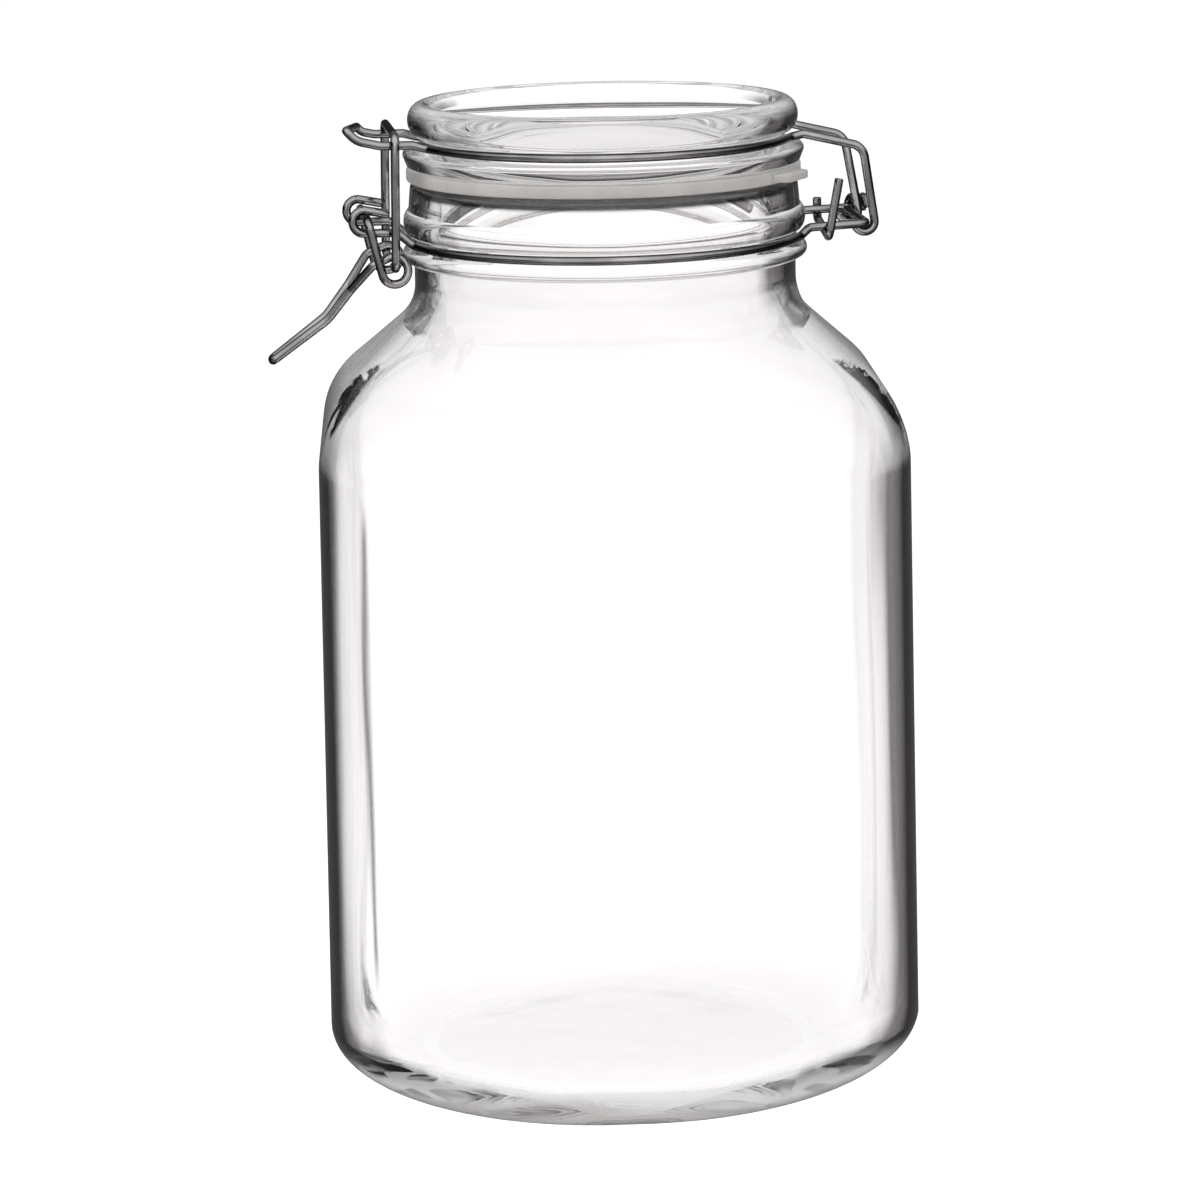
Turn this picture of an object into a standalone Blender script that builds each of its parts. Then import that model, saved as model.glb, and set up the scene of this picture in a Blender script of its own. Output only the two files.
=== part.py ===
"""A square glass canning jar with a hinged glass lid, a rubber gasket and a wire clasp.

Units are metres and +Z is up. The origin is the centre of the jar's underside. The body's flat sides
face the X and Y axes. The wires and the lid lie in the harness frame, which is turned a little about
the jar's axis: there the clasp is on the -X side and the hinge on the +X side.
"""

from math import acos, atan2, ceil, cos, hypot, pi, radians, sin, sqrt, tan

import bmesh
import bpy
import numpy as np
from mathutils import Vector

# Clearances
SEAT_GAP = 0.0003
RUNNING_GAP = 0.0005
MERGE_DISTANCE = 0.00001
SHARP_EDGE = radians(35)
PRINTED_DIGITS = 6

# Glass body: a rounded square that turns into a round foot and a round neck
BODY_HALF_TOP = 0.0726
BODY_HALF_BOTTOM = 0.0739
CORNER_RADIUS = 0.0367
FOOT_RADIUS = 0.0522
HEEL_HEIGHT = 0.0229
SIDE_HEIGHT = 0.1402
SHOULDER_RADIUS = 0.0278
SHOULDER_SWEEP = radians(46.5)
NECK_FILLET = 0.0132
WALL = 0.0038
BASE_THICKNESS = 0.006
FLOOR_RADIUS = 0.050
CORNER_SEGMENTS = 7
FLAT_SEGMENTS = 6
HEEL_POINTS = 8
SHOULDER_POINTS = 6
FILLET_POINTS = 5
HEEL_BLEND_SHARE = 0.66
SHOULDER_BLEND_SHARE = 1.36

# Glass neck, measured from the mouth outwards and from the shoulder upwards
MOUTH_RADIUS = 0.0423
NECK_WALL = 0.0062
NECK_IN = 0.0007
NECK_BAND = 0.0056
LEDGE_OVERHANG = 0.0022
LEDGE_HEIGHT = 0.0039
GROOVE_RISE = 0.00155
GROOVE_DEPTH = 0.0004
GROOVE_HALF_HEIGHT = 0.0013
NECK_BEAD_OVERHANG = 0.0018
NECK_BEAD_RISE = 0.0044
NECK_BEAD_HALF_HEIGHT = 0.0032
RIM_RISE = 0.0145
RIM_ROUND = 0.0010
NECK_EDGE_ANGLE = radians(75)
NECK_EDGE_STEPS = 5
RIM_EDGE_STEPS = 3

# Rubber gasket and its pull tab
GASKET_THICKNESS = 0.0031
GASKET_OVERHANG = 0.0008
GASKET_ROUND = 0.0006
GASKET_EDGE_STEPS = 2
TAB_WIDTH = 0.0140
TAB_REACH = 0.0040
TAB_TURN = radians(-32)
TAB_THICKNESS = 0.0020
TAB_CORNER = 0.0030

# Glass lid, measured from the neck's rim outwards and from the gasket upwards
FLANGE_OVERHANG = 0.0017
FLANGE_HEIGHT = 0.0032
FLANGE_DRAFT = 0.0012
FLANGE_TOP = 0.0042
FLANGE_ROUND = 0.0006
LID_GROOVE_RISE = 0.0061
LID_GROOVE_INSET = 0.0050
BEAD_HALF_WIDTH = 0.0035
BEAD_HALF_HEIGHT = 0.0043
BEAD_RISE = 0.0054
BEAD_START = radians(150)
BEAD_END = radians(-65)
BEAD_STEPS = 12
LID_GROOVE_START = radians(118)
LID_GROOVE_END = radians(245)
LID_GROOVE_STEPS = 6
DISH_RADIUS = 0.0320
DISH_DEPTH = 0.0092
DISH_CROWN = 0.0004
PLUG_CLEARANCE = 0.0018
PLUG_DEPTH = 0.0070
PLUG_WALL = 0.0045
PLUG_DRAFT = 0.0006
LID_THICKNESS = 0.0058
TURNED_STEPS = 48

# Wire stock and the way it is bent
WIRE_RADIUS = 0.0011
BEND_RADIUS = 0.0022
BEND_STEP = radians(18)
RING_STEP = radians(7.5)
COIL_STEP = radians(24)
BEND_REACH_SHARE = 0.49
WIRE_RESOLUTION = 2
RUNOUT_PASSES = 20
GAP_SAMPLE_SHARE = 0.25
HARNESS_TURN = radians(4.5)

# Neck wires: a ring in the neck's groove, an ear at the clasp and a leg at the hinge
EAR_HALF_SPACING = 0.0115
EAR_REACH = 0.0114
EAR_RADIUS = 0.0029
EAR_LIFT = 0.0037
EAR_RETURN = 0.0060
EAR_TAIL_DROP = 0.0012
EAR_RAMP = 0.0044
LEG_HALF_SPACING = 0.0165
LEG_LIFT = 0.0021
LEG_RAMP = 0.0022
RING_RUNOUT = 0.0056
HINGE_REACH = 0.0142
HINGE_LIFT = 0.0027
COIL_PITCH = 0.0029
COIL_TURNS = 1.75
COIL_OFFSET = 0.0008
LEG_END = 0.0058

# Tie wire under the two legs
TIE_DISTANCE = 0.0078
TIE_TAIL = 0.0145
TIE_TAIL_LEAN = 0.0027
TIE_SKEW = 0.0036
TIE_END = 0.0052

# Lid wire: a ring in the lid's groove, a hook at the clasp and two arms at the hinge
HOOK_HALF_SPACING = 0.0140
HOOK_LIFT = 0.0011
HOOK_RAMP = 0.0040
NEAR_HOOK_LENGTH = 0.0183
NEAR_HOOK_TOE = 0.0085
NEAR_HOOK_RISE = 0.0040
FAR_HOOK_LENGTH = 0.0139
FAR_HOOK_TOE = 0.0045
FAR_HOOK_RISE = 0.0020
HOOK_CURL_RUN_SHARE = 0.28
HOOK_CURL_RISE_SHARE = 0.35
HOOK_BEND_RADIUS = 0.0060
ARM_HALF_SPACING = 0.0135
ARM_LIFT = 0.0008
ARM_RAMP = 0.0034
ARM_CORNER_INSET = 0.0003
ARM_CORNER_DROP = 0.0028
ARM_CORNER_RADIUS = 0.0040
FAR_ARM_LEAN = 0.0040
EYE_WRAP = radians(175)

# Clasp lever
PIVOT_INSET = 0.0007
PIVOT_PIN = 0.0055
EYE_RADIUS = 0.0033
EYE_INSET = 0.0064
EYE_DROP = 0.0126
EYE_SHIFT = 0.0030
KNEE_REACH = 0.0053
KNEE_RISE = 0.0013
HANDLE_HALF_TOP = 0.0052
HANDLE_HALF_BEND = 0.0036
HANDLE_HALF_TIP = 0.0020
HANDLE_SQUEEZE = 0.0085
UPPER_HANDLE = 0.0180
UPPER_SLOPE = radians(52)
LOWER_HANDLE = 0.0172
LOWER_SLOPE = radians(36)
HANDLE_BEND_RADIUS = 0.0080
HANDLE_END_RADIUS = 0.0020

# Bail link
BAIL_REACH = 0.0066
BAIL_PIN = 0.0068

# Finishes: base colour, roughness, metallic, transmission
GLASS_FINISH = ((0.93, 0.96, 0.95), 0.04, 0.0, 1.0)
RUBBER_FINISH = ((0.76, 0.71, 0.66), 0.55, 0.0, 0.0)
WIRE_FINISH = ((0.72, 0.72, 0.71), 0.18, 1.0, 0.0)

# Heights that stack up from the foot
side_top_z = HEEL_HEIGHT + SIDE_HEIGHT
rim_radius = MOUTH_RADIUS + NECK_WALL
neck_in_radius = rim_radius - NECK_IN
wire_diameter = 2 * WIRE_RADIUS
seat_pitch = wire_diameter + SEAT_GAP


def shoulder_profile(half_width, neck_radius, convex_radius, concave_radius):
    """Half widths and heights over the shoulder: a convex arc, a straight slope and a concave arc."""
    points = []
    for angle in np.linspace(0, SHOULDER_SWEEP, SHOULDER_POINTS):
        across = half_width - convex_radius * (1 - cos(angle))
        points.append((across, side_top_z + convex_radius * sin(angle)))
    slope_end = neck_radius + concave_radius * (1 - cos(SHOULDER_SWEEP))
    slope_rise = (points[-1][0] - slope_end) / tan(SHOULDER_SWEEP)
    centre_z = points[-1][1] + slope_rise + concave_radius * sin(SHOULDER_SWEEP)
    for angle in np.linspace(SHOULDER_SWEEP, 0, FILLET_POINTS):
        across = neck_radius + concave_radius * (1 - cos(angle))
        points.append((across, centre_z - concave_radius * sin(angle)))
    return points


def heel_profile(floor_radius, floor_z, half_width):
    """Half widths and heights of the quarter ellipse from a floor's edge up to the side wall."""
    points = []
    for angle in np.linspace(0, pi / 2, HEEL_POINTS):
        across = floor_radius + (half_width - floor_radius) * sin(angle)
        points.append((across, floor_z + (HEEL_HEIGHT - floor_z) * (1 - cos(angle))))
    return points


def corner_share(z, heel_bottom, neck_z, side_share):
    """The corner radius as a share of the half width: 1 where the section is round."""
    if z < HEEL_HEIGHT:
        rise = (z - heel_bottom) / (HEEL_HEIGHT - heel_bottom)
        return 1 - (1 - side_share) * rise**HEEL_BLEND_SHARE
    if z > side_top_z:
        rise = min(1, (z - side_top_z) / (neck_z - side_top_z))
        return side_share + (1 - side_share) * rise**SHOULDER_BLEND_SHARE
    return side_share


def section_angles():
    """Directions of a section's points, closer together over the corners."""
    edge = atan2(BODY_HALF_TOP - CORNER_RADIUS, BODY_HALF_TOP)
    angles = []
    for quarter in range(4):
        turn = quarter * pi / 2
        angles += list(np.linspace(turn - edge, turn + edge, FLAT_SEGMENTS, endpoint=False))
        corner_end = turn + pi / 2 - edge
        angles += list(np.linspace(turn + edge, corner_end, CORNER_SEGMENTS, endpoint=False))
    return angles


def section_reach(angle, half_width, corner_radius):
    """Distance from the axis to a rounded square's edge in one direction."""
    octant = abs((angle + pi / 4) % (pi / 2) - pi / 4)
    flat = half_width - corner_radius
    if half_width * tan(octant) <= flat:
        return half_width / cos(octant)
    along = flat * (cos(octant) + sin(octant))
    across = flat * (cos(octant) - sin(octant))
    return along + sqrt(corner_radius**2 - across**2)


def round_edge(centre_x, centre_z, across, up, start, end, steps):
    """Points along a stretch of an ellipse in the turned profile's plane."""
    return [
        (centre_x + across * cos(angle), centre_z + up * sin(angle))
        for angle in np.linspace(start, end, steps + 1)
    ]


outer_shoulder = shoulder_profile(BODY_HALF_TOP, neck_in_radius, SHOULDER_RADIUS, NECK_FILLET)
inner_shoulder = shoulder_profile(
    BODY_HALF_TOP - WALL, MOUTH_RADIUS, SHOULDER_RADIUS - WALL, NECK_FILLET + WALL
)
neck_base_z = outer_shoulder[-1][1]
ledge_bottom_z = neck_base_z + NECK_BAND
ledge_top_z = ledge_bottom_z + LEDGE_HEIGHT
neck_wire_z = ledge_top_z + GROOVE_RISE
rim_z = neck_wire_z + RIM_RISE
groove_radius = rim_radius - GROOVE_DEPTH
neck_wire_radius = groove_radius + SEAT_GAP + WIRE_RADIUS
gasket_bottom_z = rim_z + SEAT_GAP
gasket_top_z = gasket_bottom_z + GASKET_THICKNESS
lid_bottom_z = gasket_top_z + SEAT_GAP
lid_wire_z = lid_bottom_z + LID_GROOVE_RISE
flange_radius = rim_radius + FLANGE_OVERHANG
plug_radius = MOUTH_RADIUS - PLUG_CLEARANCE
lid_groove_radius = flange_radius - LID_GROOVE_INSET
lid_wire_radius = lid_groove_radius + SEAT_GAP + WIRE_RADIUS
bead_z = lid_wire_z + BEAD_RISE
crest_z = bead_z + BEAD_HALF_HEIGHT
dish_z = crest_z - DISH_DEPTH

# Joint axes in the harness frame, all along its Y axis
ear_x = -(neck_wire_radius + EAR_REACH)
ear_bottom_z = neck_wire_z + EAR_LIFT
ear_centre_z = ear_bottom_z + EAR_RADIUS
ear_top_z = ear_centre_z + EAR_RADIUS
hook_z = lid_wire_z + HOOK_LIFT
lever_axis = Vector((ear_x + PIVOT_INSET, 0, ear_top_z - seat_pitch))
eye_centre = lever_axis + Vector((EYE_INSET, 0, -EYE_DROP))
bail_axis = eye_centre + Vector((0, 0, EYE_RADIUS - seat_pitch))
hinge_axis = Vector((neck_wire_radius + HINGE_REACH, 0, neck_wire_z + HINGE_LIFT))
lever_half_width = EAR_HALF_SPACING + wire_diameter + RUNNING_GAP
bail_half_width = lever_half_width + wire_diameter + SEAT_GAP


def neck_ridge(middle_z, overhang, half_height):
    """The rounded outer edge of a ridge round the neck, from its underside up."""
    return round_edge(
        rim_radius,
        middle_z,
        overhang,
        half_height,
        -NECK_EDGE_ANGLE,
        NECK_EDGE_ANGLE,
        NECK_EDGE_STEPS,
    )


def neck_profile():
    """Radii and heights of the neck's outside, from the shoulder up to the rim."""
    ledge_z = (ledge_bottom_z + ledge_top_z) / 2
    ledge = neck_ridge(ledge_z, LEDGE_OVERHANG, LEDGE_HEIGHT / 2)
    groove = [
        (groove_radius, neck_wire_z - GROOVE_HALF_HEIGHT),
        (groove_radius, neck_wire_z + GROOVE_HALF_HEIGHT),
    ]
    bead_middle_z = neck_wire_z + NECK_BEAD_RISE
    bead = neck_ridge(bead_middle_z, NECK_BEAD_OVERHANG, NECK_BEAD_HALF_HEIGHT)
    return [(neck_in_radius, ledge_bottom_z)] + ledge + groove + bead


def rim_profile():
    """Radii and heights over the rounded rim, from its outside to the mouth."""
    low_z = rim_z - RIM_ROUND
    outer_x = rim_radius - RIM_ROUND
    inner_x = MOUTH_RADIUS + RIM_ROUND
    outer = round_edge(outer_x, low_z, RIM_ROUND, RIM_ROUND, 0, pi / 2, RIM_EDGE_STEPS)
    inner = round_edge(inner_x, low_z, RIM_ROUND, RIM_ROUND, pi / 2, pi, RIM_EDGE_STEPS)
    return outer + inner


def body_rings():
    """Every section of the glass body as (half width, corner share, height), outside then inside."""
    outer_share = CORNER_RADIUS / BODY_HALF_TOP
    inner_share = (CORNER_RADIUS - WALL) / (BODY_HALF_TOP - WALL)
    outside = heel_profile(FOOT_RADIUS, 0, BODY_HALF_BOTTOM) + outer_shoulder + neck_profile()
    rings = [
        (across, corner_share(z, 0, neck_base_z, outer_share), z) for across, z in outside
    ]
    rings += [(across, 1, z) for across, z in rim_profile()]
    floor = heel_profile(FLOOR_RADIUS, BASE_THICKNESS, BODY_HALF_BOTTOM - WALL)
    inner_neck_z = inner_shoulder[-1][1]
    rings += [
        (across, corner_share(z, BASE_THICKNESS, inner_neck_z, inner_share), z)
        for across, z in reversed(floor + inner_shoulder)
    ]
    return rings


def finish(name, values):
    """A Principled material from a colour, a roughness, a metallic value and a transmission."""
    colour, roughness, metallic, transmission = values
    material = bpy.data.materials.new(name)
    material.use_nodes = True
    shader = material.node_tree.nodes["Principled BSDF"]
    shader.inputs["Base Color"].default_value = (*colour, 1)
    shader.inputs["Roughness"].default_value = roughness
    shader.inputs["Metallic"].default_value = metallic
    shader.inputs["Transmission Weight"].default_value = transmission
    return material


def add_object(name, data, collection, material=None):
    """Put new object data into the scene under a plain name."""
    piece = bpy.data.objects.new(name, data)
    collection.objects.link(piece)
    if material:
        data.materials.append(material)
    return piece


def smooth(mesh):
    """Shade a round piece smooth, with its real edges left sharp."""
    mesh.shade_smooth()
    mesh.set_sharp_from_angle(angle=SHARP_EDGE)


def make_glass_body(collection, material):
    """Loft the body through its sections: up the outside, over the rim and down the inside."""
    angles = section_angles()
    shell = bmesh.new()
    loops = []
    for across, share, z in body_rings():
        loop = []
        for angle in angles:
            reach = section_reach(angle, across, across * share)
            loop.append(shell.verts.new((reach * cos(angle), reach * sin(angle), z)))
        loops.append(loop)
    for lower, upper in zip(loops, loops[1:]):
        for index in range(len(angles)):
            after = (index + 1) % len(angles)
            shell.faces.new((lower[index], lower[after], upper[after], upper[index]))
    shell.faces.new(loops[0])
    shell.faces.new(loops[-1])
    bmesh.ops.recalc_face_normals(shell, faces=shell.faces)
    mesh = bpy.data.meshes.new("glass_body")
    shell.to_mesh(mesh)
    shell.free()
    smooth(mesh)
    return add_object("glass_body", mesh, collection, material)


def make_turned(name, profile, collection, material):
    """Turn a profile round the jar's axis with a Screw modifier."""
    mesh = bpy.data.meshes.new(name)
    points = [(radius, 0, z) for radius, z in profile]
    mesh.from_pydata(points, [(i, i + 1) for i in range(len(points) - 1)], [])
    piece = add_object(name, mesh, collection, material)
    turn = piece.modifiers.new("turn", "SCREW")
    turn.steps = TURNED_STEPS
    turn.render_steps = TURNED_STEPS
    turn.use_merge_vertices = True
    turn.merge_threshold = MERGE_DISTANCE
    return piece


def lid_profile():
    """The lid's half section: dish, raised rim ring, wire groove, seating flange and plug."""
    clear = WIRE_RADIUS + SEAT_GAP
    bead_x = lid_groove_radius
    profile = [(0, dish_z - DISH_CROWN), (DISH_RADIUS, dish_z)]
    profile += round_edge(
        bead_x, bead_z, BEAD_HALF_WIDTH, BEAD_HALF_HEIGHT, BEAD_START, BEAD_END, BEAD_STEPS
    )
    profile += round_edge(
        lid_wire_radius,
        lid_wire_z,
        clear,
        clear,
        LID_GROOVE_START,
        LID_GROOVE_END,
        LID_GROOVE_STEPS,
    )
    profile += [
        (flange_radius - FLANGE_ROUND, lid_bottom_z + FLANGE_TOP),
        (flange_radius, lid_bottom_z + FLANGE_HEIGHT),
        (flange_radius - FLANGE_DRAFT, lid_bottom_z),
        (plug_radius, lid_bottom_z),
        (plug_radius - PLUG_DRAFT, lid_bottom_z - PLUG_DEPTH),
        (plug_radius - PLUG_WALL, lid_bottom_z - PLUG_DEPTH),
        (plug_radius - PLUG_WALL - PLUG_DRAFT, dish_z - LID_THICKNESS),
        (0, dish_z - LID_THICKNESS),
    ]
    return profile


def make_glass_lid(collection, material):
    """The pressed glass lid."""
    return make_turned("glass_lid", lid_profile(), collection, material)


def gasket_profile():
    """The gasket's closed section with rounded edges, down its outer side first."""
    inner = plug_radius + SEAT_GAP
    outer = rim_radius + GASKET_OVERHANG
    high = gasket_top_z - GASKET_ROUND
    low = gasket_bottom_z + GASKET_ROUND
    edge = GASKET_ROUND
    profile = round_edge(outer - edge, high, edge, edge, pi / 2, 0, GASKET_EDGE_STEPS)
    profile += round_edge(outer - edge, low, edge, edge, 0, -pi / 2, GASKET_EDGE_STEPS)
    profile += [(inner, gasket_bottom_z), (inner, gasket_top_z)]
    return profile + profile[:1]


def make_pull_tab(cutters):
    """The gasket's tongue as a flat outline with round corners, joined to the ring afterwards."""
    root = plug_radius + (rim_radius - plug_radius) / 2
    tip = rim_radius + GASKET_OVERHANG + TAB_REACH
    half = TAB_WIDTH / 2
    corners = [
        Vector((root, -half, 0)),
        Vector((tip, -half, 0)),
        Vector((tip, half, 0)),
        Vector((root, half, 0)),
    ]
    outline = rounded(corners, TAB_CORNER)
    curve = bpy.data.curves.new("pull_tab", "CURVE")
    curve.dimensions = "2D"
    curve.fill_mode = "BOTH"
    curve.extrude = TAB_THICKNESS / 2
    spline = curve.splines.new("POLY")
    spline.points.add(len(outline) - 1)
    for point, place in zip(spline.points, outline):
        point.co = (*place, 1)
    spline.use_cyclic_u = True
    flat = add_object("pull_tab_outline", curve, cutters)
    bpy.context.view_layer.update()
    solid = bpy.data.meshes.new_from_object(
        flat.evaluated_get(bpy.context.evaluated_depsgraph_get())
    )
    shell = bmesh.new()
    shell.from_mesh(solid)
    bmesh.ops.remove_doubles(shell, verts=shell.verts, dist=MERGE_DISTANCE)
    shell.to_mesh(solid)
    shell.free()
    tab = add_object("pull_tab", solid, cutters)
    tab.location = (0, 0, (gasket_bottom_z + gasket_top_z) / 2)
    tab.rotation_euler = (0, 0, TAB_TURN)
    tab.hide_render = True
    tab.display_type = "WIRE"
    bpy.data.objects.remove(flat)
    return tab


def make_gasket(collection, cutters, material):
    """The flat sealing ring with its pull tab joined on."""
    ring = make_turned("gasket", gasket_profile(), collection, material)
    union = ring.modifiers.new("tab", "BOOLEAN")
    union.operation = "UNION"
    union.solver = "EXACT"
    union.object = make_pull_tab(cutters)
    return ring


def rounded(corners, radius):
    """Points along straight stretches, each corner between them bent to an arc."""
    path = [corners[0]]
    for before, corner, after in zip(corners, corners[1:], corners[2:]):
        back = before - corner
        ahead = after - corner
        half_angle = back.angle(ahead) / 2
        shorter = min(back.length, ahead.length)
        reach = min(radius / tan(half_angle), BEND_REACH_SHARE * shorter)
        bend_radius = reach * tan(half_angle)
        towards = (back.normalized() + ahead.normalized()).normalized()
        sideways = (ahead.normalized() - back.normalized()).normalized()
        centre = corner + towards * (reach / cos(half_angle))
        sweep = pi / 2 - half_angle
        steps = max(1, ceil(2 * sweep / BEND_STEP))
        for turn in np.linspace(-sweep, sweep, steps + 1):
            path.append(centre + (sideways * sin(turn) - towards * cos(turn)) * bend_radius)
    return path + [corners[-1]]


def upright_arc(centre, radius, start, end, step, start_y, end_y):
    """Points round an axis along Y, drifting sideways from one place to another."""
    count = max(2, ceil(abs(end - start) / step))
    points = []
    for index in range(count + 1):
        part = index / count
        angle = start + (end - start) * part
        y = start_y + (end_y - start_y) * part
        points.append(Vector((centre.x + radius * cos(angle), y, centre.z + radius * sin(angle))))
    return points


def level_arc(radius, z, start, end):
    """Points of a wire's run round the jar's axis."""
    count = ceil(abs(end - start) / RING_STEP)
    return [
        Vector((radius * cos(angle), radius * sin(angle), z))
        for angle in np.linspace(start, end, count + 1)
    ]


def touch_angle(point, centre, radius, side):
    """Where a straight wire from a point meets a loop round an axis along Y; side is 1 or -1."""
    across = point.x - centre.x
    up = point.z - centre.z
    return atan2(up, across) + side * acos(radius / hypot(across, up))


def mirrored(points):
    """The same points on the other side of the harness's middle plane."""
    return [Vector((point.x, -point.y, point.z)) for point in points]


def least_gap(points):
    """The least gap between turns of one wire, measured on points along its middle line."""
    dense = []
    for here, there in zip(points, points[1:]):
        count = max(1, ceil((there - here).length / (GAP_SAMPLE_SHARE * WIRE_RADIUS)))
        dense += [here.lerp(there, step / count) for step in range(count)]
    places = np.array([tuple(point) for point in dense])
    steps = np.linalg.norm(np.diff(places, axis=0), axis=1)
    along = np.concatenate([[0], np.cumsum(steps)])
    apart = np.linalg.norm(places[:, None] - places[None], axis=2)
    apart[np.abs(along[:, None] - along[None]) < pi * wire_diameter] = np.inf
    return apart.min() - wire_diameter


def make_wire(name, points, collection, material):
    """A round wire along points, with flat cut ends."""
    curve = bpy.data.curves.new(name, "CURVE")
    curve.dimensions = "3D"
    curve.bevel_depth = WIRE_RADIUS
    curve.bevel_resolution = WIRE_RESOLUTION
    curve.use_fill_caps = True
    spline = curve.splines.new("POLY")
    spline.points.add(len(points) - 1)
    for point, place in zip(spline.points, points):
        point.co = (*place, 1)
    return add_object(name, curve, collection, material)


def runout(radius, half_spacing, sign):
    """Where a ring ends on its way to a leg: its angle, and the leg's root on the ring's tangent."""
    end_angle = atan2(half_spacing, radius)
    for _ in range(RUNOUT_PASSES):
        side = half_spacing + RING_RUNOUT * cos(end_angle)
        end_angle = atan2(side, sqrt(radius**2 - side**2))
    root_x = radius * cos(end_angle) + RING_RUNOUT * sin(end_angle)
    root_y = radius * sin(end_angle) - RING_RUNOUT * cos(end_angle)
    return end_angle, Vector((sign * root_x, root_y, 0))


def neck_ring_and_ear():
    """The +Y neck wire from its ear's end, round the neck, to its leg's root at the hinge."""
    ear_angle, ear_root = runout(neck_wire_radius, EAR_HALF_SPACING, -1)
    leg_angle, leg_root = runout(neck_wire_radius, LEG_HALF_SPACING, 1)
    y = EAR_HALF_SPACING
    centre = Vector((ear_x, y, ear_centre_z))
    tail_x = ear_x + EAR_RETURN
    path = [Vector((tail_x, y, ear_top_z - EAR_TAIL_DROP))]
    path += upright_arc(centre, EAR_RADIUS, pi / 2, pi + pi / 2, BEND_STEP, y, y)
    ring = level_arc(neck_wire_radius, neck_wire_z, pi - ear_angle, leg_angle)
    ramp = [
        path[-1],
        Vector((ear_root.x - EAR_RAMP, y, ear_bottom_z)),
        Vector((ear_root.x, y, neck_wire_z)),
        ring[0],
    ]
    leg = [
        ring[-1],
        Vector((leg_root.x, LEG_HALF_SPACING, neck_wire_z)),
        Vector((leg_root.x + LEG_RAMP, LEG_HALF_SPACING, neck_wire_z + LEG_LIFT)),
    ]
    return path[:-1] + rounded(ramp, BEND_RADIUS)[:-1] + ring[:-1], leg


def rear_neck_wire_path():
    """Far ear, round the back of the neck, and the far leg to its end inside the coil."""
    path, leg = neck_ring_and_ear()
    end_x = hinge_axis.x + LEG_END
    leg.append(Vector((end_x, LEG_HALF_SPACING, hinge_axis.z)))
    return path + rounded(leg, BEND_RADIUS)


def front_neck_wire_path():
    """Near ear, round the front of the neck, the near leg, the hinge bar and the coil."""
    path, leg = neck_ring_and_ear()
    path = mirrored(path)
    leg = mirrored(leg)
    coil_radius = seat_pitch
    coil_x = hinge_axis.x + COIL_OFFSET
    coil_z = hinge_axis.z
    leg.append(Vector((hinge_axis.x, -LEG_HALF_SPACING, hinge_axis.z)))
    leg.append(Vector((hinge_axis.x, LEG_HALF_SPACING - 2 * seat_pitch, hinge_axis.z)))
    leg.append(Vector((coil_x, LEG_HALF_SPACING - WIRE_RADIUS, coil_z - coil_radius)))
    coil = []
    count = ceil(COIL_TURNS * 2 * pi / COIL_STEP)
    for index in range(count + 1):
        turned = COIL_TURNS * 2 * pi * index / count
        coil.append(
            Vector(
                (
                    coil_x + COIL_PITCH * turned / (2 * pi),
                    LEG_HALF_SPACING + coil_radius * sin(turned),
                    coil_z - coil_radius * cos(turned),
                )
            )
        )
    leg.append(coil[0])
    path += rounded(leg, BEND_RADIUS)[:-1] + coil
    print("least gap between the turns of the hinge coil, m:", round(least_gap(path), PRINTED_DIGITS))
    return path


def tie_wire_path():
    """Under both legs, with a long cut tail on the near side and a short end on the far side."""
    far_x = neck_wire_radius + TIE_DISTANCE
    near_x = far_x - TIE_SKEW
    far_z = leg_height(far_x) - seat_pitch
    near_z = leg_height(near_x) - seat_pitch
    side = LEG_HALF_SPACING + seat_pitch
    corners = [
        Vector((near_x + TIE_TAIL_LEAN, -side, near_z + TIE_TAIL)),
        Vector((near_x, -side, near_z)),
        Vector((far_x, side, far_z)),
        Vector((far_x, side, far_z + TIE_END)),
    ]
    return rounded(corners, BEND_RADIUS)


def leg_height(x):
    """Height of the neck wires' legs at a distance from the axis."""
    _, root = runout(neck_wire_radius, LEG_HALF_SPACING, 1)
    start_x = root.x + LEG_RAMP
    start_z = neck_wire_z + LEG_LIFT
    return start_z + (hinge_axis.z - start_z) * (x - start_x) / (hinge_axis.x - start_x)


def hook_side(length, toe, rise):
    """One arm of the lid wire's hook, from the middle of its crossbar to its root, on the +Y side."""
    _, root = runout(lid_wire_radius, HOOK_HALF_SPACING, -1)
    y = HOOK_HALF_SPACING
    bar_x = -(lid_wire_radius + (NEAR_HOOK_LENGTH + FAR_HOOK_LENGTH) / 2)
    bar_z = hook_z + (NEAR_HOOK_RISE + FAR_HOOK_RISE) / 2
    tip = Vector((-(lid_wire_radius + length), y, hook_z + rise))
    curl = tip + Vector((HOOK_CURL_RUN_SHARE * toe, 0, (HOOK_CURL_RISE_SHARE - 1) * rise))
    flat = Vector((tip.x + toe, y, hook_z))
    ramp = Vector((root.x - HOOK_RAMP, y, hook_z))
    arm = rounded([tip, curl, flat, ramp], HOOK_BEND_RADIUS)
    return rounded([Vector((bar_x, 0, bar_z)), tip, arm[1]], BEND_RADIUS) + arm[2:]


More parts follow.
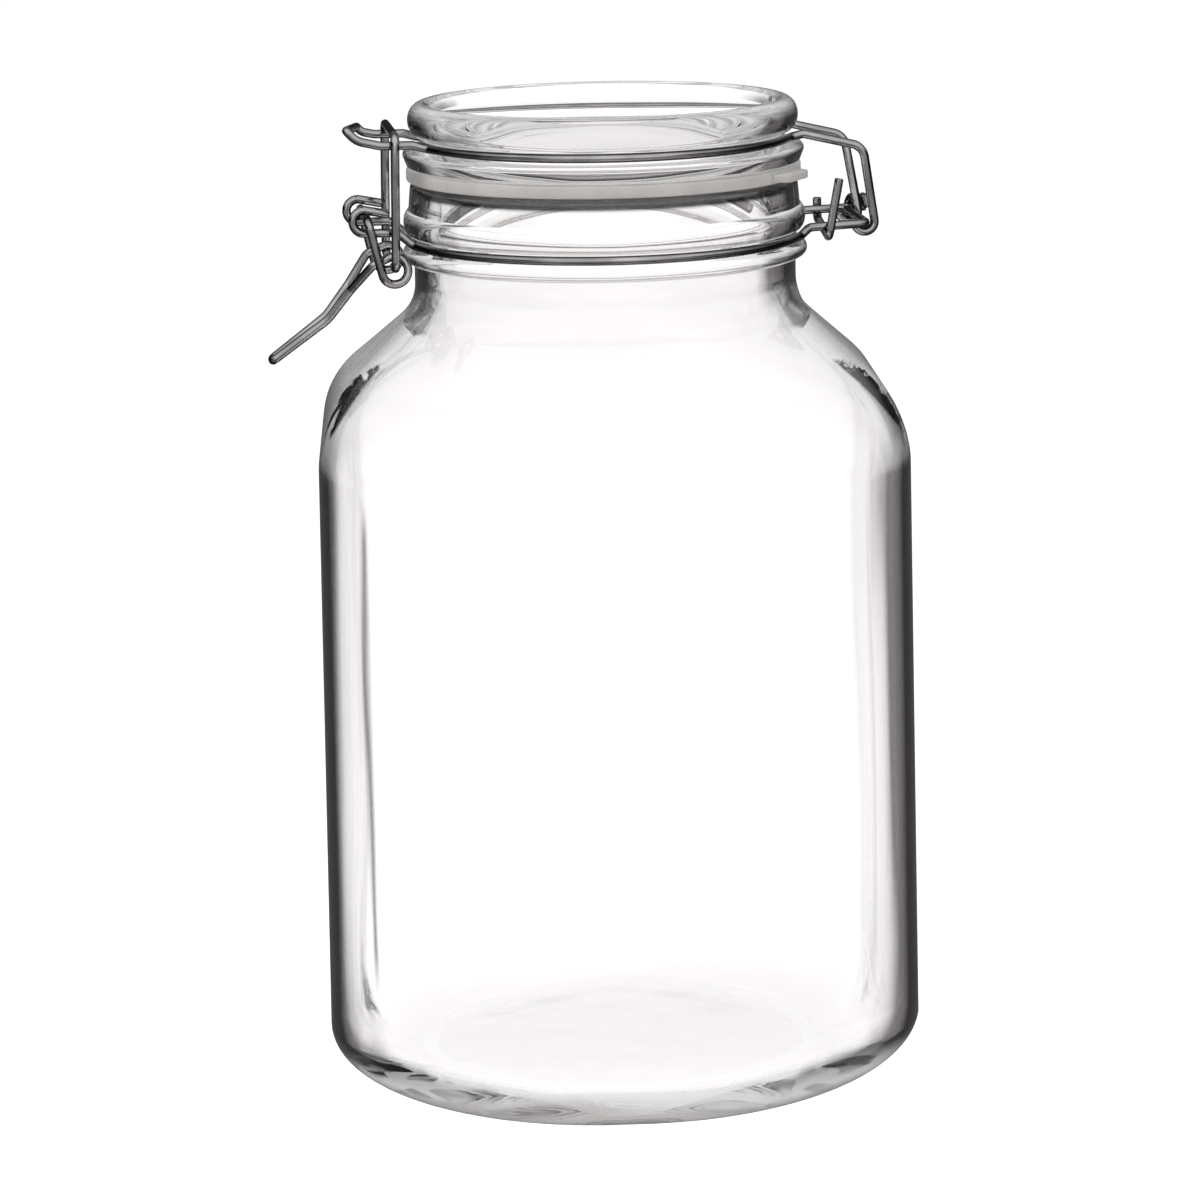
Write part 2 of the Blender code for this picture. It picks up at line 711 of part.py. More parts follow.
def lid_wire_half(hook, lean):
    """One side of the lid wire from the hook's middle to the eye on the hinge bar, on the +Y side."""
    hook_angle, hook_root = runout(lid_wire_radius, HOOK_HALF_SPACING, -1)
    arm_angle, arm_root = runout(lid_wire_radius, ARM_HALF_SPACING, 1)
    ring = level_arc(lid_wire_radius, lid_wire_z, pi - hook_angle, arm_angle)
    root = Vector((hook_root.x, HOOK_HALF_SPACING, lid_wire_z))
    hook = hook[:-1] + rounded([hook[-2], hook[-1], root, ring[0]], BEND_RADIUS)[1:]
    arm_y = ARM_HALF_SPACING
    run_x = arm_root.x + ARM_RAMP
    high_z = lid_wire_z + ARM_LIFT
    corner = Vector((hinge_axis.x - ARM_CORNER_INSET, arm_y, lid_wire_z - ARM_CORNER_DROP))
    eye_radius = seat_pitch
    meet = touch_angle(corner, hinge_axis, eye_radius, -1)
    eye_y = arm_y - lean
    eye = upright_arc(hinge_axis, eye_radius, meet, meet - EYE_WRAP, BEND_STEP, eye_y, eye_y)
    run = Vector((run_x, arm_y, high_z))
    middle = (run + corner) / 2
    start = [ring[-1], Vector((arm_root.x, arm_y, lid_wire_z)), run, middle]
    arm = rounded(start, BEND_RADIUS)[:-1]
    arm += rounded([arm[-1], corner, eye[0]], ARM_CORNER_RADIUS)[1:-1]
    return hook[:-1] + ring[:-1] + arm + eye


def lid_wire_path():
    """The whole lid wire: near eye, round the front, the hook, round the back and the far eye."""
    near_hook = hook_side(NEAR_HOOK_LENGTH, NEAR_HOOK_TOE, NEAR_HOOK_RISE)
    far_hook = hook_side(FAR_HOOK_LENGTH, FAR_HOOK_TOE, FAR_HOOK_RISE)
    near = mirrored(lid_wire_half(near_hook, 0))
    far = lid_wire_half(far_hook, FAR_ARM_LEAN)
    return near[:0:-1] + far[1:]


def lever_half():
    """One side of the lever from its pivot pin's end to the middle of the handle's end, at +Y."""
    outer_y = lever_half_width
    ring_y = outer_y - EYE_SHIFT
    knee = eye_centre + Vector((-KNEE_REACH, ring_y, KNEE_RISE))
    arrive = touch_angle(lever_axis, eye_centre, EYE_RADIUS, 1)
    leave = touch_angle(knee, eye_centre, EYE_RADIUS, -1) + 2 * pi
    eye = upright_arc(eye_centre, EYE_RADIUS, arrive, leave, COIL_STEP, outer_y, ring_y)
    pin = [
        lever_axis + Vector((0, outer_y - PIVOT_PIN, 0)),
        lever_axis + Vector((0, outer_y, 0)),
        eye[0],
    ]
    upper = Vector((-cos(UPPER_SLOPE), 0, -sin(UPPER_SLOPE)))
    lower = Vector((-cos(LOWER_SLOPE), 0, -sin(LOWER_SLOPE)))
    squeezed = knee + upper * HANDLE_SQUEEZE
    squeezed.y = HANDLE_HALF_TOP
    bend = knee + upper * UPPER_HANDLE
    bend.y = HANDLE_HALF_BEND
    tip = bend + lower * LOWER_HANDLE
    tip.y = HANDLE_HALF_TIP
    middle = Vector((tip.x, 0, tip.z))
    first = rounded([eye[-1], knee, squeezed, (bend + squeezed) / 2], BEND_RADIUS)
    second = rounded([first[-1], bend, (bend + tip) / 2], HANDLE_BEND_RADIUS)
    third = rounded([second[-1], tip, middle], HANDLE_END_RADIUS)
    return rounded(pin, BEND_RADIUS)[:-1] + eye[:-1] + first[:-1] + second[1:-1] + third[1:]


def clasp_lever_path():
    """The whole lever wire from pin to pin through the handle's end."""
    far = lever_half()
    near = mirrored(far)
    print("least gap between the turns of the lever's eyes, m:", round(least_gap(far), PRINTED_DIGITS))
    return near[:-1] + far[::-1]


def bail_link_path():
    """The link from one eye of the lever up, over the hook, and down to the other eye."""
    top = Vector((-(lid_wire_radius + BAIL_REACH), 0, hook_z + seat_pitch))
    wide = bail_half_width
    corners = [
        bail_axis + Vector((0, wide - BAIL_PIN, 0)),
        bail_axis + Vector((0, wide, 0)),
        top + Vector((0, wide, 0)),
        top,
    ]
    far = rounded(corners, BEND_RADIUS)
    return mirrored(far)[:-1] + far[::-1]


def add_empty(name, place, collection, parent=None):
    """An empty that carries pieces, placed in its parent's frame."""
    empty = bpy.data.objects.new(name, None)
    empty.empty_display_size = BEND_RADIUS
    collection.objects.link(empty)
    empty.location = place
    empty.parent = parent
    return empty


def carry(piece, empty, pivot):
    """Hang a piece, modelled in the harness frame, from an empty on its joint's axis."""
    piece.parent = empty
    piece.location = -pivot


def new_collection(name):
    """A collection in the scene."""
    collection = bpy.data.collections.new(name)
    bpy.context.scene.collection.children.link(collection)
    return collection


def clear_scene():
    """Remove whatever the scene starts with."""
    for leftover in list(bpy.data.objects):
        bpy.data.objects.remove(leftover)


def main():
    """Build the jar."""
    clear_scene()
    jar = new_collection("canning_jar")
    cutters = new_collection("canning_jar_cutters")
    glass = finish("clear_glass", GLASS_FINISH)
    rubber = finish("gasket_rubber", RUBBER_FINISH)
    steel = finish("stainless_wire", WIRE_FINISH)
    origin = Vector((0, 0, 0))
    harness = add_empty("harness", origin, jar)
    harness.rotation_euler = (0, 0, HARNESS_TURN)
    lid_pivot = add_empty("lid_pivot", hinge_axis, jar, harness)
    lever_pivot = add_empty("lever_pivot", lever_axis, jar, harness)
    bail_pivot = add_empty("bail_pivot", bail_axis - lever_axis, jar, lever_pivot)
    make_glass_body(jar, glass)
    carry(make_glass_lid(jar, glass), lid_pivot, hinge_axis)
    gasket = make_gasket(jar, cutters, rubber)
    carry(gasket, lid_pivot, hinge_axis)
    gasket.modifiers["tab"].object.parent = lid_pivot
    gasket.modifiers["tab"].object.location -= hinge_axis
    carry(make_wire("lid_wire", lid_wire_path(), jar, steel), lid_pivot, hinge_axis)
    wires = {
        "front_neck_wire": front_neck_wire_path(),
        "rear_neck_wire": rear_neck_wire_path(),
        "tie_wire": tie_wire_path(),
    }
    for name, points in wires.items():
        carry(make_wire(name, points, jar, steel), harness, origin)
    lever = make_wire("clasp_lever", clasp_lever_path(), jar, steel)
    carry(lever, lever_pivot, lever_axis)
    bail = make_wire("bail_link", bail_link_path(), jar, steel)
    carry(bail, bail_pivot, bail_axis)
    bpy.context.view_layer.update()
    for name, place in (("hinge", hinge_axis), ("lever", lever_axis), ("bail", bail_axis)):
        world = harness.matrix_world @ place
        print(name, "axis point, m:", tuple(round(value, PRINTED_DIGITS) for value in world))


main()
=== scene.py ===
"""A square clear glass canning jar with a hinged glass lid, a rubber gasket and a wire clasp.

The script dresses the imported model. Lengths are metres and +Z is up. The jar's flat sides face the
X and Y axes. The wires are shaped in the harness frame, where the clasp is at -X and the hinge at
+X, and are then turned a little about the jar's axis.
"""

import logging
from dataclasses import dataclass
from enum import Enum
from math import acos, atan2, ceil, cos, hypot, pi, radians, sin, sqrt, tan

import bmesh
import bpy
from mathutils import Matrix, Vector, noise


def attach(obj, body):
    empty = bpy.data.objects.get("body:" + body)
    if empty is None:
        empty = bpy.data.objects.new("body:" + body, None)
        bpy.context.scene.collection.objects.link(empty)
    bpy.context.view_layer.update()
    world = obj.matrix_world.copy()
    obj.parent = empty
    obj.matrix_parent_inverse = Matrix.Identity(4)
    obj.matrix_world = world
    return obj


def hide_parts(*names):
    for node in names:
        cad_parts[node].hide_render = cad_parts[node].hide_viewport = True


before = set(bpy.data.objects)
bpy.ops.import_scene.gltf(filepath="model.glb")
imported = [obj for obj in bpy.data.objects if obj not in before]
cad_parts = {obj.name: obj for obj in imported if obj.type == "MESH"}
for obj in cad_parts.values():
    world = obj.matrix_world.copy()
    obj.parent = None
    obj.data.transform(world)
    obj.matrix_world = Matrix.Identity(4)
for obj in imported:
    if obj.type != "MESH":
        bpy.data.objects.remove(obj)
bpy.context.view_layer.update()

LOG = logging.getLogger("canning_jar")
SEAT_GAP = 0.0003
RUNNING_GAP = 0.0005
WIRE_SPACE = "wire_space"
MERGE_DISTANCE = 0.000001
CENTRE_RADIUS = 0.001

Points = list[Vector]
Triple = tuple[float, float, float]
Socket = bpy.types.NodeSocket
Shell = bmesh.types.BMesh
Material = bpy.types.Material
Piece = bpy.types.Object


class Body(Enum):
    """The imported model's bodies that pieces ride on."""

    JAR = "jar"
    LID = "lid"
    LEVER = "lever"
    BAIL = "bail"


class Slot(Enum):
    """The record's material slots."""

    GLASS = "glass"
    RUBBER = "rubber"
    WIRE = "wire"


class Side(Enum):
    """The two sides of the harness's middle plane; the value is the sign of Y."""

    NEAR = -1
    FAR = 1


def at(x: float, z: float, y: float = 0) -> Vector:
    """A point, named by its place in the XZ plane."""
    return Vector((x, y, z))


def steady(start: float, end: float, steps: int) -> list[float]:
    """Evenly spaced values from start to end."""
    return [start + (end - start) * index / steps for index in range(steps + 1)]


def arc(
    x: float, z: float, across: float, up: float, start: float, end: float, steps: int
) -> Points:
    """Points on a stretch of an ellipse in the XZ plane.

    Args:
        x: The ellipse's middle along X.
        z: The ellipse's middle along Z.
        across: Half the ellipse's width.
        up: Half the ellipse's height.
        start: The first point's angle.
        end: The last point's angle.
        steps: How many steps lie between them.

    Returns:
        The points in order.
    """
    turns = steady(start, end, steps)
    return [at(x + across * cos(turn), z + up * sin(turn)) for turn in turns]


def rounded(corners: Points, radius: float, step: float) -> Points:
    """Bend each inner corner of a run of straight stretches to an arc.

    Args:
        corners: The run's corners.
        radius: The arcs' radius, made smaller where a stretch is short.
        step: The most that the run turns between two points.

    Returns:
        The points of the bent run.
    """
    reach_share = 0.49
    path = [corners[0]]
    for before, corner, after in zip(corners, corners[1:], corners[2:]):
        back = before - corner
        ahead = after - corner
        half_angle = back.angle(ahead) / 2
        shorter = min(back.length, ahead.length)
        reach = min(radius / tan(half_angle), reach_share * shorter)
        bend_radius = reach * tan(half_angle)
        towards = (back.normalized() + ahead.normalized()).normalized()
        sideways = (ahead.normalized() - back.normalized()).normalized()
        centre = corner + towards * (reach / cos(half_angle))
        sweep = pi / 2 - half_angle
        for turn in steady(-sweep, sweep, max(1, ceil(2 * sweep / step))):
            path.append(centre + (sideways * sin(turn) - towards * cos(turn)) * bend_radius)
    return path + [corners[-1]]


def mirrored(points: Points) -> Points:
    """The same points on the other side of the harness's middle plane."""
    return [Vector((point.x, -point.y, point.z)) for point in points]


def both_sides(far: Points) -> Points:
    """A loop's whole path, from its near end to its far end, given the far half."""
    return mirrored(far)[:-1] + far[::-1]


def spun(profile: Points, steps: int) -> Shell:
    """Turn a profile in the XZ plane once round the jar's axis.

    Args:
        profile: The profile's points; a closed profile repeats its first point.
        steps: How many steps the full turn has.

    Returns:
        The turned shell, closed and with its normals outward.
    """
    shell = bmesh.new()
    verts = [shell.verts.new(point) for point in profile]
    geom = verts + [shell.edges.new(pair) for pair in zip(verts, verts[1:])]
    bmesh.ops.spin(
        shell, geom=geom, axis=(0, 0, 1), angle=2 * pi, steps=steps, use_merge=True
    )
    bmesh.ops.remove_doubles(shell, verts=shell.verts, dist=MERGE_DISTANCE)
    bmesh.ops.recalc_face_normals(shell, faces=shell.faces)
    return shell


def extruded_ring(
    shell: Shell, edges: list[bmesh.types.BMEdge]
) -> tuple[list[bmesh.types.BMVert], list[bmesh.types.BMEdge]]:
    """Extrude a ring of edges in place.

    Args:
        shell: The mesh that the ring is on.
        edges: The ring's edges.

    Returns:
        The new ring's vertices and edges, lying on the old ones.
    """
    made = bmesh.ops.extrude_edge_only(shell, edges=edges)["geom"]
    verts = [part for part in made if isinstance(part, bmesh.types.BMVert)]
    edges = [part for part in made if isinstance(part, bmesh.types.BMEdge)]
    known = set(verts)
    return verts, [edge for edge in edges if known.issuperset(edge.verts)]


def close(shell: Shell, edges: list[bmesh.types.BMEdge]) -> None:
    """Close a lofted shell over its last ring and turn its normals outward."""
    bmesh.ops.edgeloop_fill(shell, edges=edges)
    bmesh.ops.recalc_face_normals(shell, faces=shell.faces)


def kept_mesh(name: str, shell: Shell) -> bpy.types.Mesh:
    """Keep a bmesh as a mesh.

    Args:
        name: The mesh's name.
        shell: The bmesh, which is freed.

    Returns:
        The mesh.
    """
    mesh = bpy.data.meshes.new(name)
    shell.to_mesh(mesh)
    shell.free()
    return mesh


def placed_object(name: str, data: bpy.types.ID) -> bpy.types.Object:
    """Put an object into the scene.

    Args:
        name: The object's name.
        data: Its mesh, lamp or camera.

    Returns:
        The object.
    """
    made = bpy.data.objects.new(name, data)
    bpy.context.scene.collection.objects.link(made)
    return made


def finished_piece(
    shell: Shell, name: str, material: Material, body: Body, replaced: str
) -> Piece:
    """Turn a bmesh into a dressed piece that rides on its body.

    Args:
        shell: The piece's mesh, in place.
        name: The piece's name.
        material: Its finish.
        body: The body it rides on.
        replaced: The CAD node that it stands for.

    Returns:
        The piece's object.
    """
    sharp_angle = radians(40)
    mesh = kept_mesh(name, shell)
    mesh.shade_smooth()
    mesh.set_sharp_from_angle(angle=sharp_angle)
    mesh.materials.append(material)
    piece = placed_object(name, mesh)
    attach(piece, body.value)
    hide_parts(replaced)
    return piece


@dataclass(frozen=True)
class Nodes:
    """A node tree, with short ways to add to it."""

    tree: bpy.types.NodeTree

    def fill(self, node: bpy.types.Node, sources: dict[str | int, object]) -> None:
        """Fill a node's inputs.

        Args:
            node: The node.
            sources: What goes to each input: an output socket to link, or a plain value.
        """
        for key, source in sources.items():
            if isinstance(source, Socket):
                self.tree.links.new(source, node.inputs[key])
            else:
                node.inputs[key].default_value = source

    def add(
        self, kind: str, sources: dict[str | int, object] | None = None, **values: object
    ) -> bpy.types.Node:
        """Add a node, set its properties and fill its inputs.

        Args:
            kind: The node's kind.
            sources: What goes to each input.
            **values: The node's own properties.

        Returns:
            The new node.
        """
        node = self.tree.nodes.new("ShaderNode" + kind)
        for key, value in values.items():
            setattr(node, key, value)
        self.fill(node, sources or {})
        return node

    def place(self) -> Socket:
        """The piece's own coordinates."""
        return self.add("TexCoord").outputs["Object"]

    def stretched(self, place: Socket, stretch: Triple) -> Socket:
        """Coordinates, scaled along each axis."""
        return self.add("Mapping", {"Vector": place, "Scale": stretch}).outputs["Vector"]

    def split(self, vector: Socket) -> bpy.types.NodeOutputs:
        """A vector's X, Y and Z."""
        return self.add("SeparateXYZ", {"Vector": vector}).outputs

    def facing(self) -> Socket:
        """How far the surface turns from the eye: 0 where it faces it and 1 at its outline."""
        return self.add("LayerWeight", {"Blend": 0.5}).outputs["Facing"]

    def math(self, operation: str, *terms: object) -> Socket:
        """Work out a number from one to three others."""
        return self.add("Math", dict(enumerate(terms)), operation=operation).outputs[0]

    def mapped(
        self, value: object, low: object, high: object, to_low: object, to_high: object
    ) -> Socket:
        """Map a value smoothly from one range to another.

        Args:
            value: The value.
            low: The value that becomes to_low.
            high: The value that becomes to_high.
            to_low: The lower result.
            to_high: The upper result.

        Returns:
            The mapped value's socket.
        """
        names = ("Value", "From Min", "From Max", "To Min", "To Max")
        sources = dict(zip(names, (value, low, high, to_low, to_high)))
        return self.add("MapRange", sources, interpolation_type="SMOOTHSTEP").outputs["Result"]

    def blend(self, share: Socket, first: Socket | Triple, second: Triple) -> Socket:
        """Mix two colours; a share of 1 gives the second."""
        start = (*first, 1) if isinstance(first, tuple) else first
        return self.add("Mix", {0: share, 6: start, 7: (*second, 1)}, data_type="RGBA").outputs[2]

    def noise(
        self, place: Socket, scale: float, low: float = 0, high: float = 1, detail: float = 2
    ) -> Socket:
        """A value that varies softly between two others over the given coordinates."""
        sources = {"Vector": place, "Scale": scale, "Detail": detail, "Low": low, "High": high}
        return self.add("Group", sources, node_tree=variation_group()).outputs["Value"]

    def dress(
        self,
        shader: bpy.types.Node,
        colour: Socket,
        roughness: Socket,
        height: Socket,
        relief: float,
        strength: float = 1,
    ) -> None:
        """Give a shader its colour, its gloss and its fine relief.

        Args:
            shader: The finish's shader.
            colour: The base colour.
            roughness: The roughness.
            height: The relief's pattern.
            relief: The relief's height.
            strength: How strong the relief is.
        """
        sources = {"Height": height, "Distance": relief, "Strength": strength}
        bumped = self.add("Bump", sources).outputs["Normal"]
        self.fill(shader, {"Base Color": colour, "Roughness": roughness, "Normal": bumped})


def variation_group() -> bpy.types.NodeTree:
    """A shared effect, built once: soft noise between two values, as a node group.

    Returns:
        The group's node tree.
    """
    name = "variation"
    spread = (0.3, 0.7)
    found = bpy.data.node_groups.get(name)
    if found:
        return found
    group = bpy.data.node_groups.new(name, "ShaderNodeTree")
    group.interface.new_socket("Vector", in_out="INPUT", socket_type="NodeSocketVector")
    for title in ("Scale", "Detail", "Low", "High"):
        group.interface.new_socket(title, in_out="INPUT", socket_type="NodeSocketFloat")
    group.interface.new_socket("Value", in_out="OUTPUT", socket_type="NodeSocketFloat")
    nodes = Nodes(group)
    given = group.nodes.new("NodeGroupInput").outputs
    grain = nodes.add("TexNoise", {title: given[title] for title in ("Vector", "Scale", "Detail")})
    result = nodes.mapped(grain.outputs["Fac"], *spread, given["Low"], given["High"])
    nodes.fill(group.nodes.new("NodeGroupOutput"), {"Value": result})
    return group


def new_finish(
    name: str, plain: dict[str | int, object]
) -> tuple[Material, Nodes, bpy.types.Node]:
    """Start a finish.

    Args:
        name: The material's name.
        plain: Plain values of its shader.

    Returns:
        The material, its nodes and its shader.
    """
    made = bpy.data.materials.new(name)
    made.use_nodes = True
    nodes = Nodes(made.node_tree)
    shader = nodes.tree.nodes["Principled BSDF"]
    nodes.fill(shader, plain)
    return made, nodes, shader


@dataclass(frozen=True)
class ClearGlass:
    """Clear pressed glass, with shade painted into its colour for camera rays: dark along the turned
    edges, a dark line, a grey heel and a dark rim band.
    """

    name: str
    clear: Triple = (0.996, 0.986, 0.984)
    # Painted shade: the dark grey of the turned walls, standing for the darkness the glass shows
    # along its edges; painted darker on the +X side, where the surroundings were darker, and low
    # down.
    side: Triple = (0.052, 0.045, 0.045)
    side_start: float = 0.33
    side_end: float = 0.585
    right_shade_lean: float = 1.2
    # Painted shade: a thin dark line inside the side band, wavering with the streaks.
    line_at: float = 0.31
    line_half: float = 0.026
    line_waver: float = 0.35
    line_depth: float = 0.0
    line_far_share: float = 0.35
    line_low: float = 0.050
    line_high: float = 0.150
    line_fade: float = 0.015
    streak: float = 0.085
    streak_scale: float = 66
    streak_stretch: float = 0.09
    # Painted shade: the grey painted over the heel below heel_z, for camera rays only.
    heel: Triple = (0.54, 0.51, 0.50)
    heel_z: float = 0.0
    heel_fade: float = 0.005
    heel_wander: float = 0.003
    low_shade_lean: float = 0.14
    # Painted shade: the near-black at the walls' outlines.
    edge: Triple = (0.0003, 0.00025, 0.0003)
    edge_start: float = 0.52
    edge_end: float = 0.67
    edge_upward_start: float = 0.03
    edge_upward_end: float = 0.45
    edge_upward_share: float = 0.60
    # Where the painted shade fades out on the flat walls.
    flat_reach: float = 0.0
    flat_fade: float = 0.006
    flat_share: float = 0.12
    flat_top: float = 0.158
    rim_z: float = 1.0
    rim_shade: float = 0.0
    rim_reach: float = 0.0034
    wall_start: float = 0.35
    wall_end: float = 0.8
    heel_start: float = -0.78
    heel_end: float = -0.45
    ior: float = 1.5
    roughness_low: float = 0.0
    roughness_high: float = 0.025
    smudge_scale: float = 28
    wave_scale: float = 34
    wave_stretch: float = 0.45
    wave_detail: float = 1
    wave_height: float = 0.0004
    wave_strength: float = 0.35
    shadow_clearness: float = 0.95

    def material(self) -> Material:
        """Build the glass.

        Returns:
            The finish.
        """
        plain = {"Metallic": 0, "Transmission Weight": 1, "IOR": self.ior}
        made, nodes, shader = new_finish(self.name, plain)
        facing = nodes.facing()
        upright = nodes.split(nodes.add("TexCoord").outputs["Normal"])["Z"]
        first = nodes.add("LightPath").outputs["Is Camera Ray"]
        # Painted shade goes only on what the camera sees directly, on the upright walls: the side
        # bands, outlines, heel and rim below.
        wall = nodes.mapped(upright, self.wall_start, self.wall_end, first, 0)
        seen = nodes.mapped(upright, self.heel_start, self.heel_end, 0, wall)
        start, end = self.edge_upward_start, self.edge_upward_end
        share = nodes.mapped(upright, start, end, 1, self.edge_upward_share)
        upper = nodes.math("MULTIPLY", seen, share)
        strength = nodes.math("MULTIPLY", upper, self._corner_shade_share(nodes))
        # Painted shade: near-black towards the outline.
        edge = nodes.mapped(facing, self.edge_start, self.edge_end, 0, strength)
        base = nodes.blend(self._heel_shade(nodes, first), self.clear, self.heel)
        walls = nodes.blend(self._side_shade(nodes, facing, strength), base, self.side)
        tint = nodes.blend(self._rim_shade(nodes, edge, first), walls, self.edge)
        place = nodes.stretched(nodes.place(), (1, 1, self.wave_stretch))
        smudge = nodes.noise(place, self.smudge_scale, self.roughness_low, self.roughness_high)
        wave = nodes.noise(place, self.wave_scale, detail=self.wave_detail)
        nodes.dress(shader, tint, smudge, wave, self.wave_height, self.wave_strength)
        self._let_light_through(nodes, shader)
        return made

    def _corner_shade_share(self, nodes: Nodes) -> Socket:
        """How much of the painted shade applies: 1 on the rounded corners and above the flat walls'
        top, low on the flat walls, which stay clear.

        Args:
            nodes: The material's nodes.

        Returns:
            The share's socket.
        """
        x, y, z = nodes.split(nodes.place())
        least = nodes.math("MINIMUM", nodes.math("ABSOLUTE", x), nodes.math("ABSOLUTE", y))
        start = self.flat_reach - self.flat_fade
        corner = nodes.mapped(least, start, self.flat_reach, self.flat_share, 1)
        return nodes.mapped(z, self.flat_top, self.flat_top + self.flat_fade, corner, 1)

    def _side_shade(self, nodes: Nodes, facing: Socket, seen: Socket) -> Socket:
        """Painted shade on the turned walls: darker on the +X side and low down, with random
        streaks, and a painted dark line inside the band.

        Args:
            nodes: The material's nodes.
            facing: How far the surface turns from the eye.
            seen: 1 on the walls that the camera sees directly.

        Returns:
            The shade's socket.
        """
        x, _, z = nodes.split(nodes.place())
        right = nodes.math("MAXIMUM", x, 0)
        along = nodes.stretched(nodes.place(), (1, 1, self.streak_stretch))
        streak = nodes.noise(along, self.streak_scale, -self.streak, self.streak)
        below = nodes.mapped(z, 0, self.line_low, self.low_shade_lean, 0)
        # Painted shade: the band is pushed wider on the +X side and near the bottom.
        lean = nodes.math("MULTIPLY_ADD", right, self.right_shade_lean, below)
        shade_reach = nodes.math("ADD", lean, nodes.math("ADD", facing, streak))
        side = nodes.mapped(shade_reach, self.side_start, self.side_end, 0, seen)
        # Painted shade: the thin dark line inside the side band.
        waver = nodes.math("MULTIPLY_ADD", streak, self.line_waver, facing)
        away = nodes.math("ABSOLUTE", nodes.math("SUBTRACT", waver, self.line_at))
        high = nodes.mapped(z, self.line_high, self.line_high + self.line_fade, seen, 0)
        low = nodes.mapped(z, self.line_low - self.line_fade, self.line_low, 0, high)
        far_depth = self.line_depth * self.line_far_share
        depth = nodes.mapped(right, 0, self.line_fade, self.line_depth, far_depth)
        near = nodes.mapped(away, 0, self.line_half, depth, 0)
        return nodes.math("MAXIMUM", side, nodes.math("MULTIPLY", near, low))

    def _heel_shade(self, nodes: Nodes, first: Socket) -> Socket:
        """Painted shade: how grey the heel is below heel_z, with a wandering upper border.

        Args:
            nodes: The material's nodes.
            first: 1 for what the camera sees directly.

        Returns:
            The shade's socket.
        """
        place = nodes.place()
        wander = nodes.noise(place, self.wave_scale, -self.heel_wander, self.heel_wander)
        height = nodes.math("ADD", nodes.split(place)["Z"], wander)
        return nodes.mapped(height, self.heel_z - self.heel_fade, self.heel_z, first, 0)

    def _rim_shade(self, nodes: Nodes, edge: Socket, first: Socket) -> Socket:
        """Darken the last millimetres below the rim, where the glass shows the gasket's shade.

        Args:
            nodes: The material's nodes.
            edge: How dark the wall's edge makes the glass.
            first: 1 for what the camera sees directly.

        Returns:
            How dark the glass is.
        """
        z = nodes.split(nodes.place())["Z"]
        start = self.rim_z - self.rim_reach
        shade = nodes.mapped(z, start, start + self.rim_reach / 3, 0, self.rim_shade)
        return nodes.math("MAXIMUM", edge, nodes.math("MULTIPLY", shade, first))

    def _let_light_through(self, nodes: Nodes, shader: bpy.types.Node) -> None:
        """Let most of the light pass on its way to the floor, as real glass does.

        Args:
            nodes: The material's nodes.
            shader: The glass's shader.
        """
        path = nodes.add("LightPath").outputs
        shade = nodes.math("MAXIMUM", path["Is Shadow Ray"], path["Is Diffuse Ray"])
        grey = self.shadow_clearness
        clear = nodes.add("BsdfTransparent", {"Color": (grey, grey, grey, 1)}).outputs[0]
        mix = nodes.add("MixShader", {0: shade, 1: shader.outputs[0], 2: clear})
        nodes.fill(nodes.tree.nodes["Material Output"], {"Surface": mix.outputs[0]})


@dataclass(frozen=True)
class PaleRubber:
    """Pale natural rubber: matt, slightly mottled, with a fine moulded grain."""

    name: str = "gasket_rubber"
    light: Triple = (0.84, 0.815, 0.785)
    dark: Triple = (0.72, 0.70, 0.675)
    transmission: float = 0.4
    roughness_low: float = 0.42
    roughness_high: float = 0.62
    mottle_scale: float = 90
    grain_scale: float = 1600
    grain_height: float = 0.00006
    subsurface: float = 0.25
    subsurface_scale: float = 0.003

    def material(self) -> Material:
        """Build the rubber.

        Returns:
            The finish.
        """
        plain = {
            "Transmission Weight": self.transmission,
            "Subsurface Weight": self.subsurface,
            "Subsurface Scale": self.subsurface_scale,
        }
        made, nodes, shader = new_finish(self.name, plain)
        place = nodes.place()
        tint = nodes.blend(nodes.noise(place, self.mottle_scale), self.dark, self.light)
        rough = nodes.noise(place, self.mottle_scale, self.roughness_low, self.roughness_high)
        nodes.dress(shader, tint, rough, nodes.noise(place, self.grain_scale), self.grain_height)
        return made


@dataclass(frozen=True)
class DrawnWire:
    """Bright drawn stainless wire with fine lines along it, dulled patches and painted shade
    darkening it towards its outline.
    """

    name: str = "stainless_wire"
    bright: Triple = (0.54, 0.52, 0.54)
    dull: Triple = (0.34, 0.325, 0.345)
    # Painted shade: the near-black the wire turns towards its outline, standing for dark reflections
    # along its edges.
    edge: Triple = (0.008, 0.0072, 0.009)
    edge_start: float = 0.03
    edge_end: float = 0.52
    roughness_low: float = 0.08
    roughness_high: float = 0.16
    patch_scale: float = 90
    line_scale: float = 1800
    line_stretch: float = 0.02
    line_detail: float = 3
    line_height: float = 0.000008

    def material(self) -> Material:
        """Build the metal.

        Returns:
            The finish.
        """
        made, nodes, shader = new_finish(self.name, {"Metallic": 1})
        place = nodes.add("Attribute", attribute_name=WIRE_SPACE).outputs["Vector"]
        along = nodes.stretched(place, (1, 1, self.line_stretch))
        tint = nodes.blend(nodes.noise(place, self.patch_scale), self.dull, self.bright)
        # Painted shade: the colour darkens to near-black towards the outline.
        edge = nodes.mapped(nodes.facing(), self.edge_start, self.edge_end, 0, 1)
        low, high = self.roughness_low, self.roughness_high
        rough = nodes.noise(along, self.line_scale, low, high, self.line_detail)
        lines = nodes.noise(along, self.line_scale, detail=self.line_detail)
        nodes.dress(shader, nodes.blend(edge, tint, self.edge), rough, lines, self.line_height)
        return made


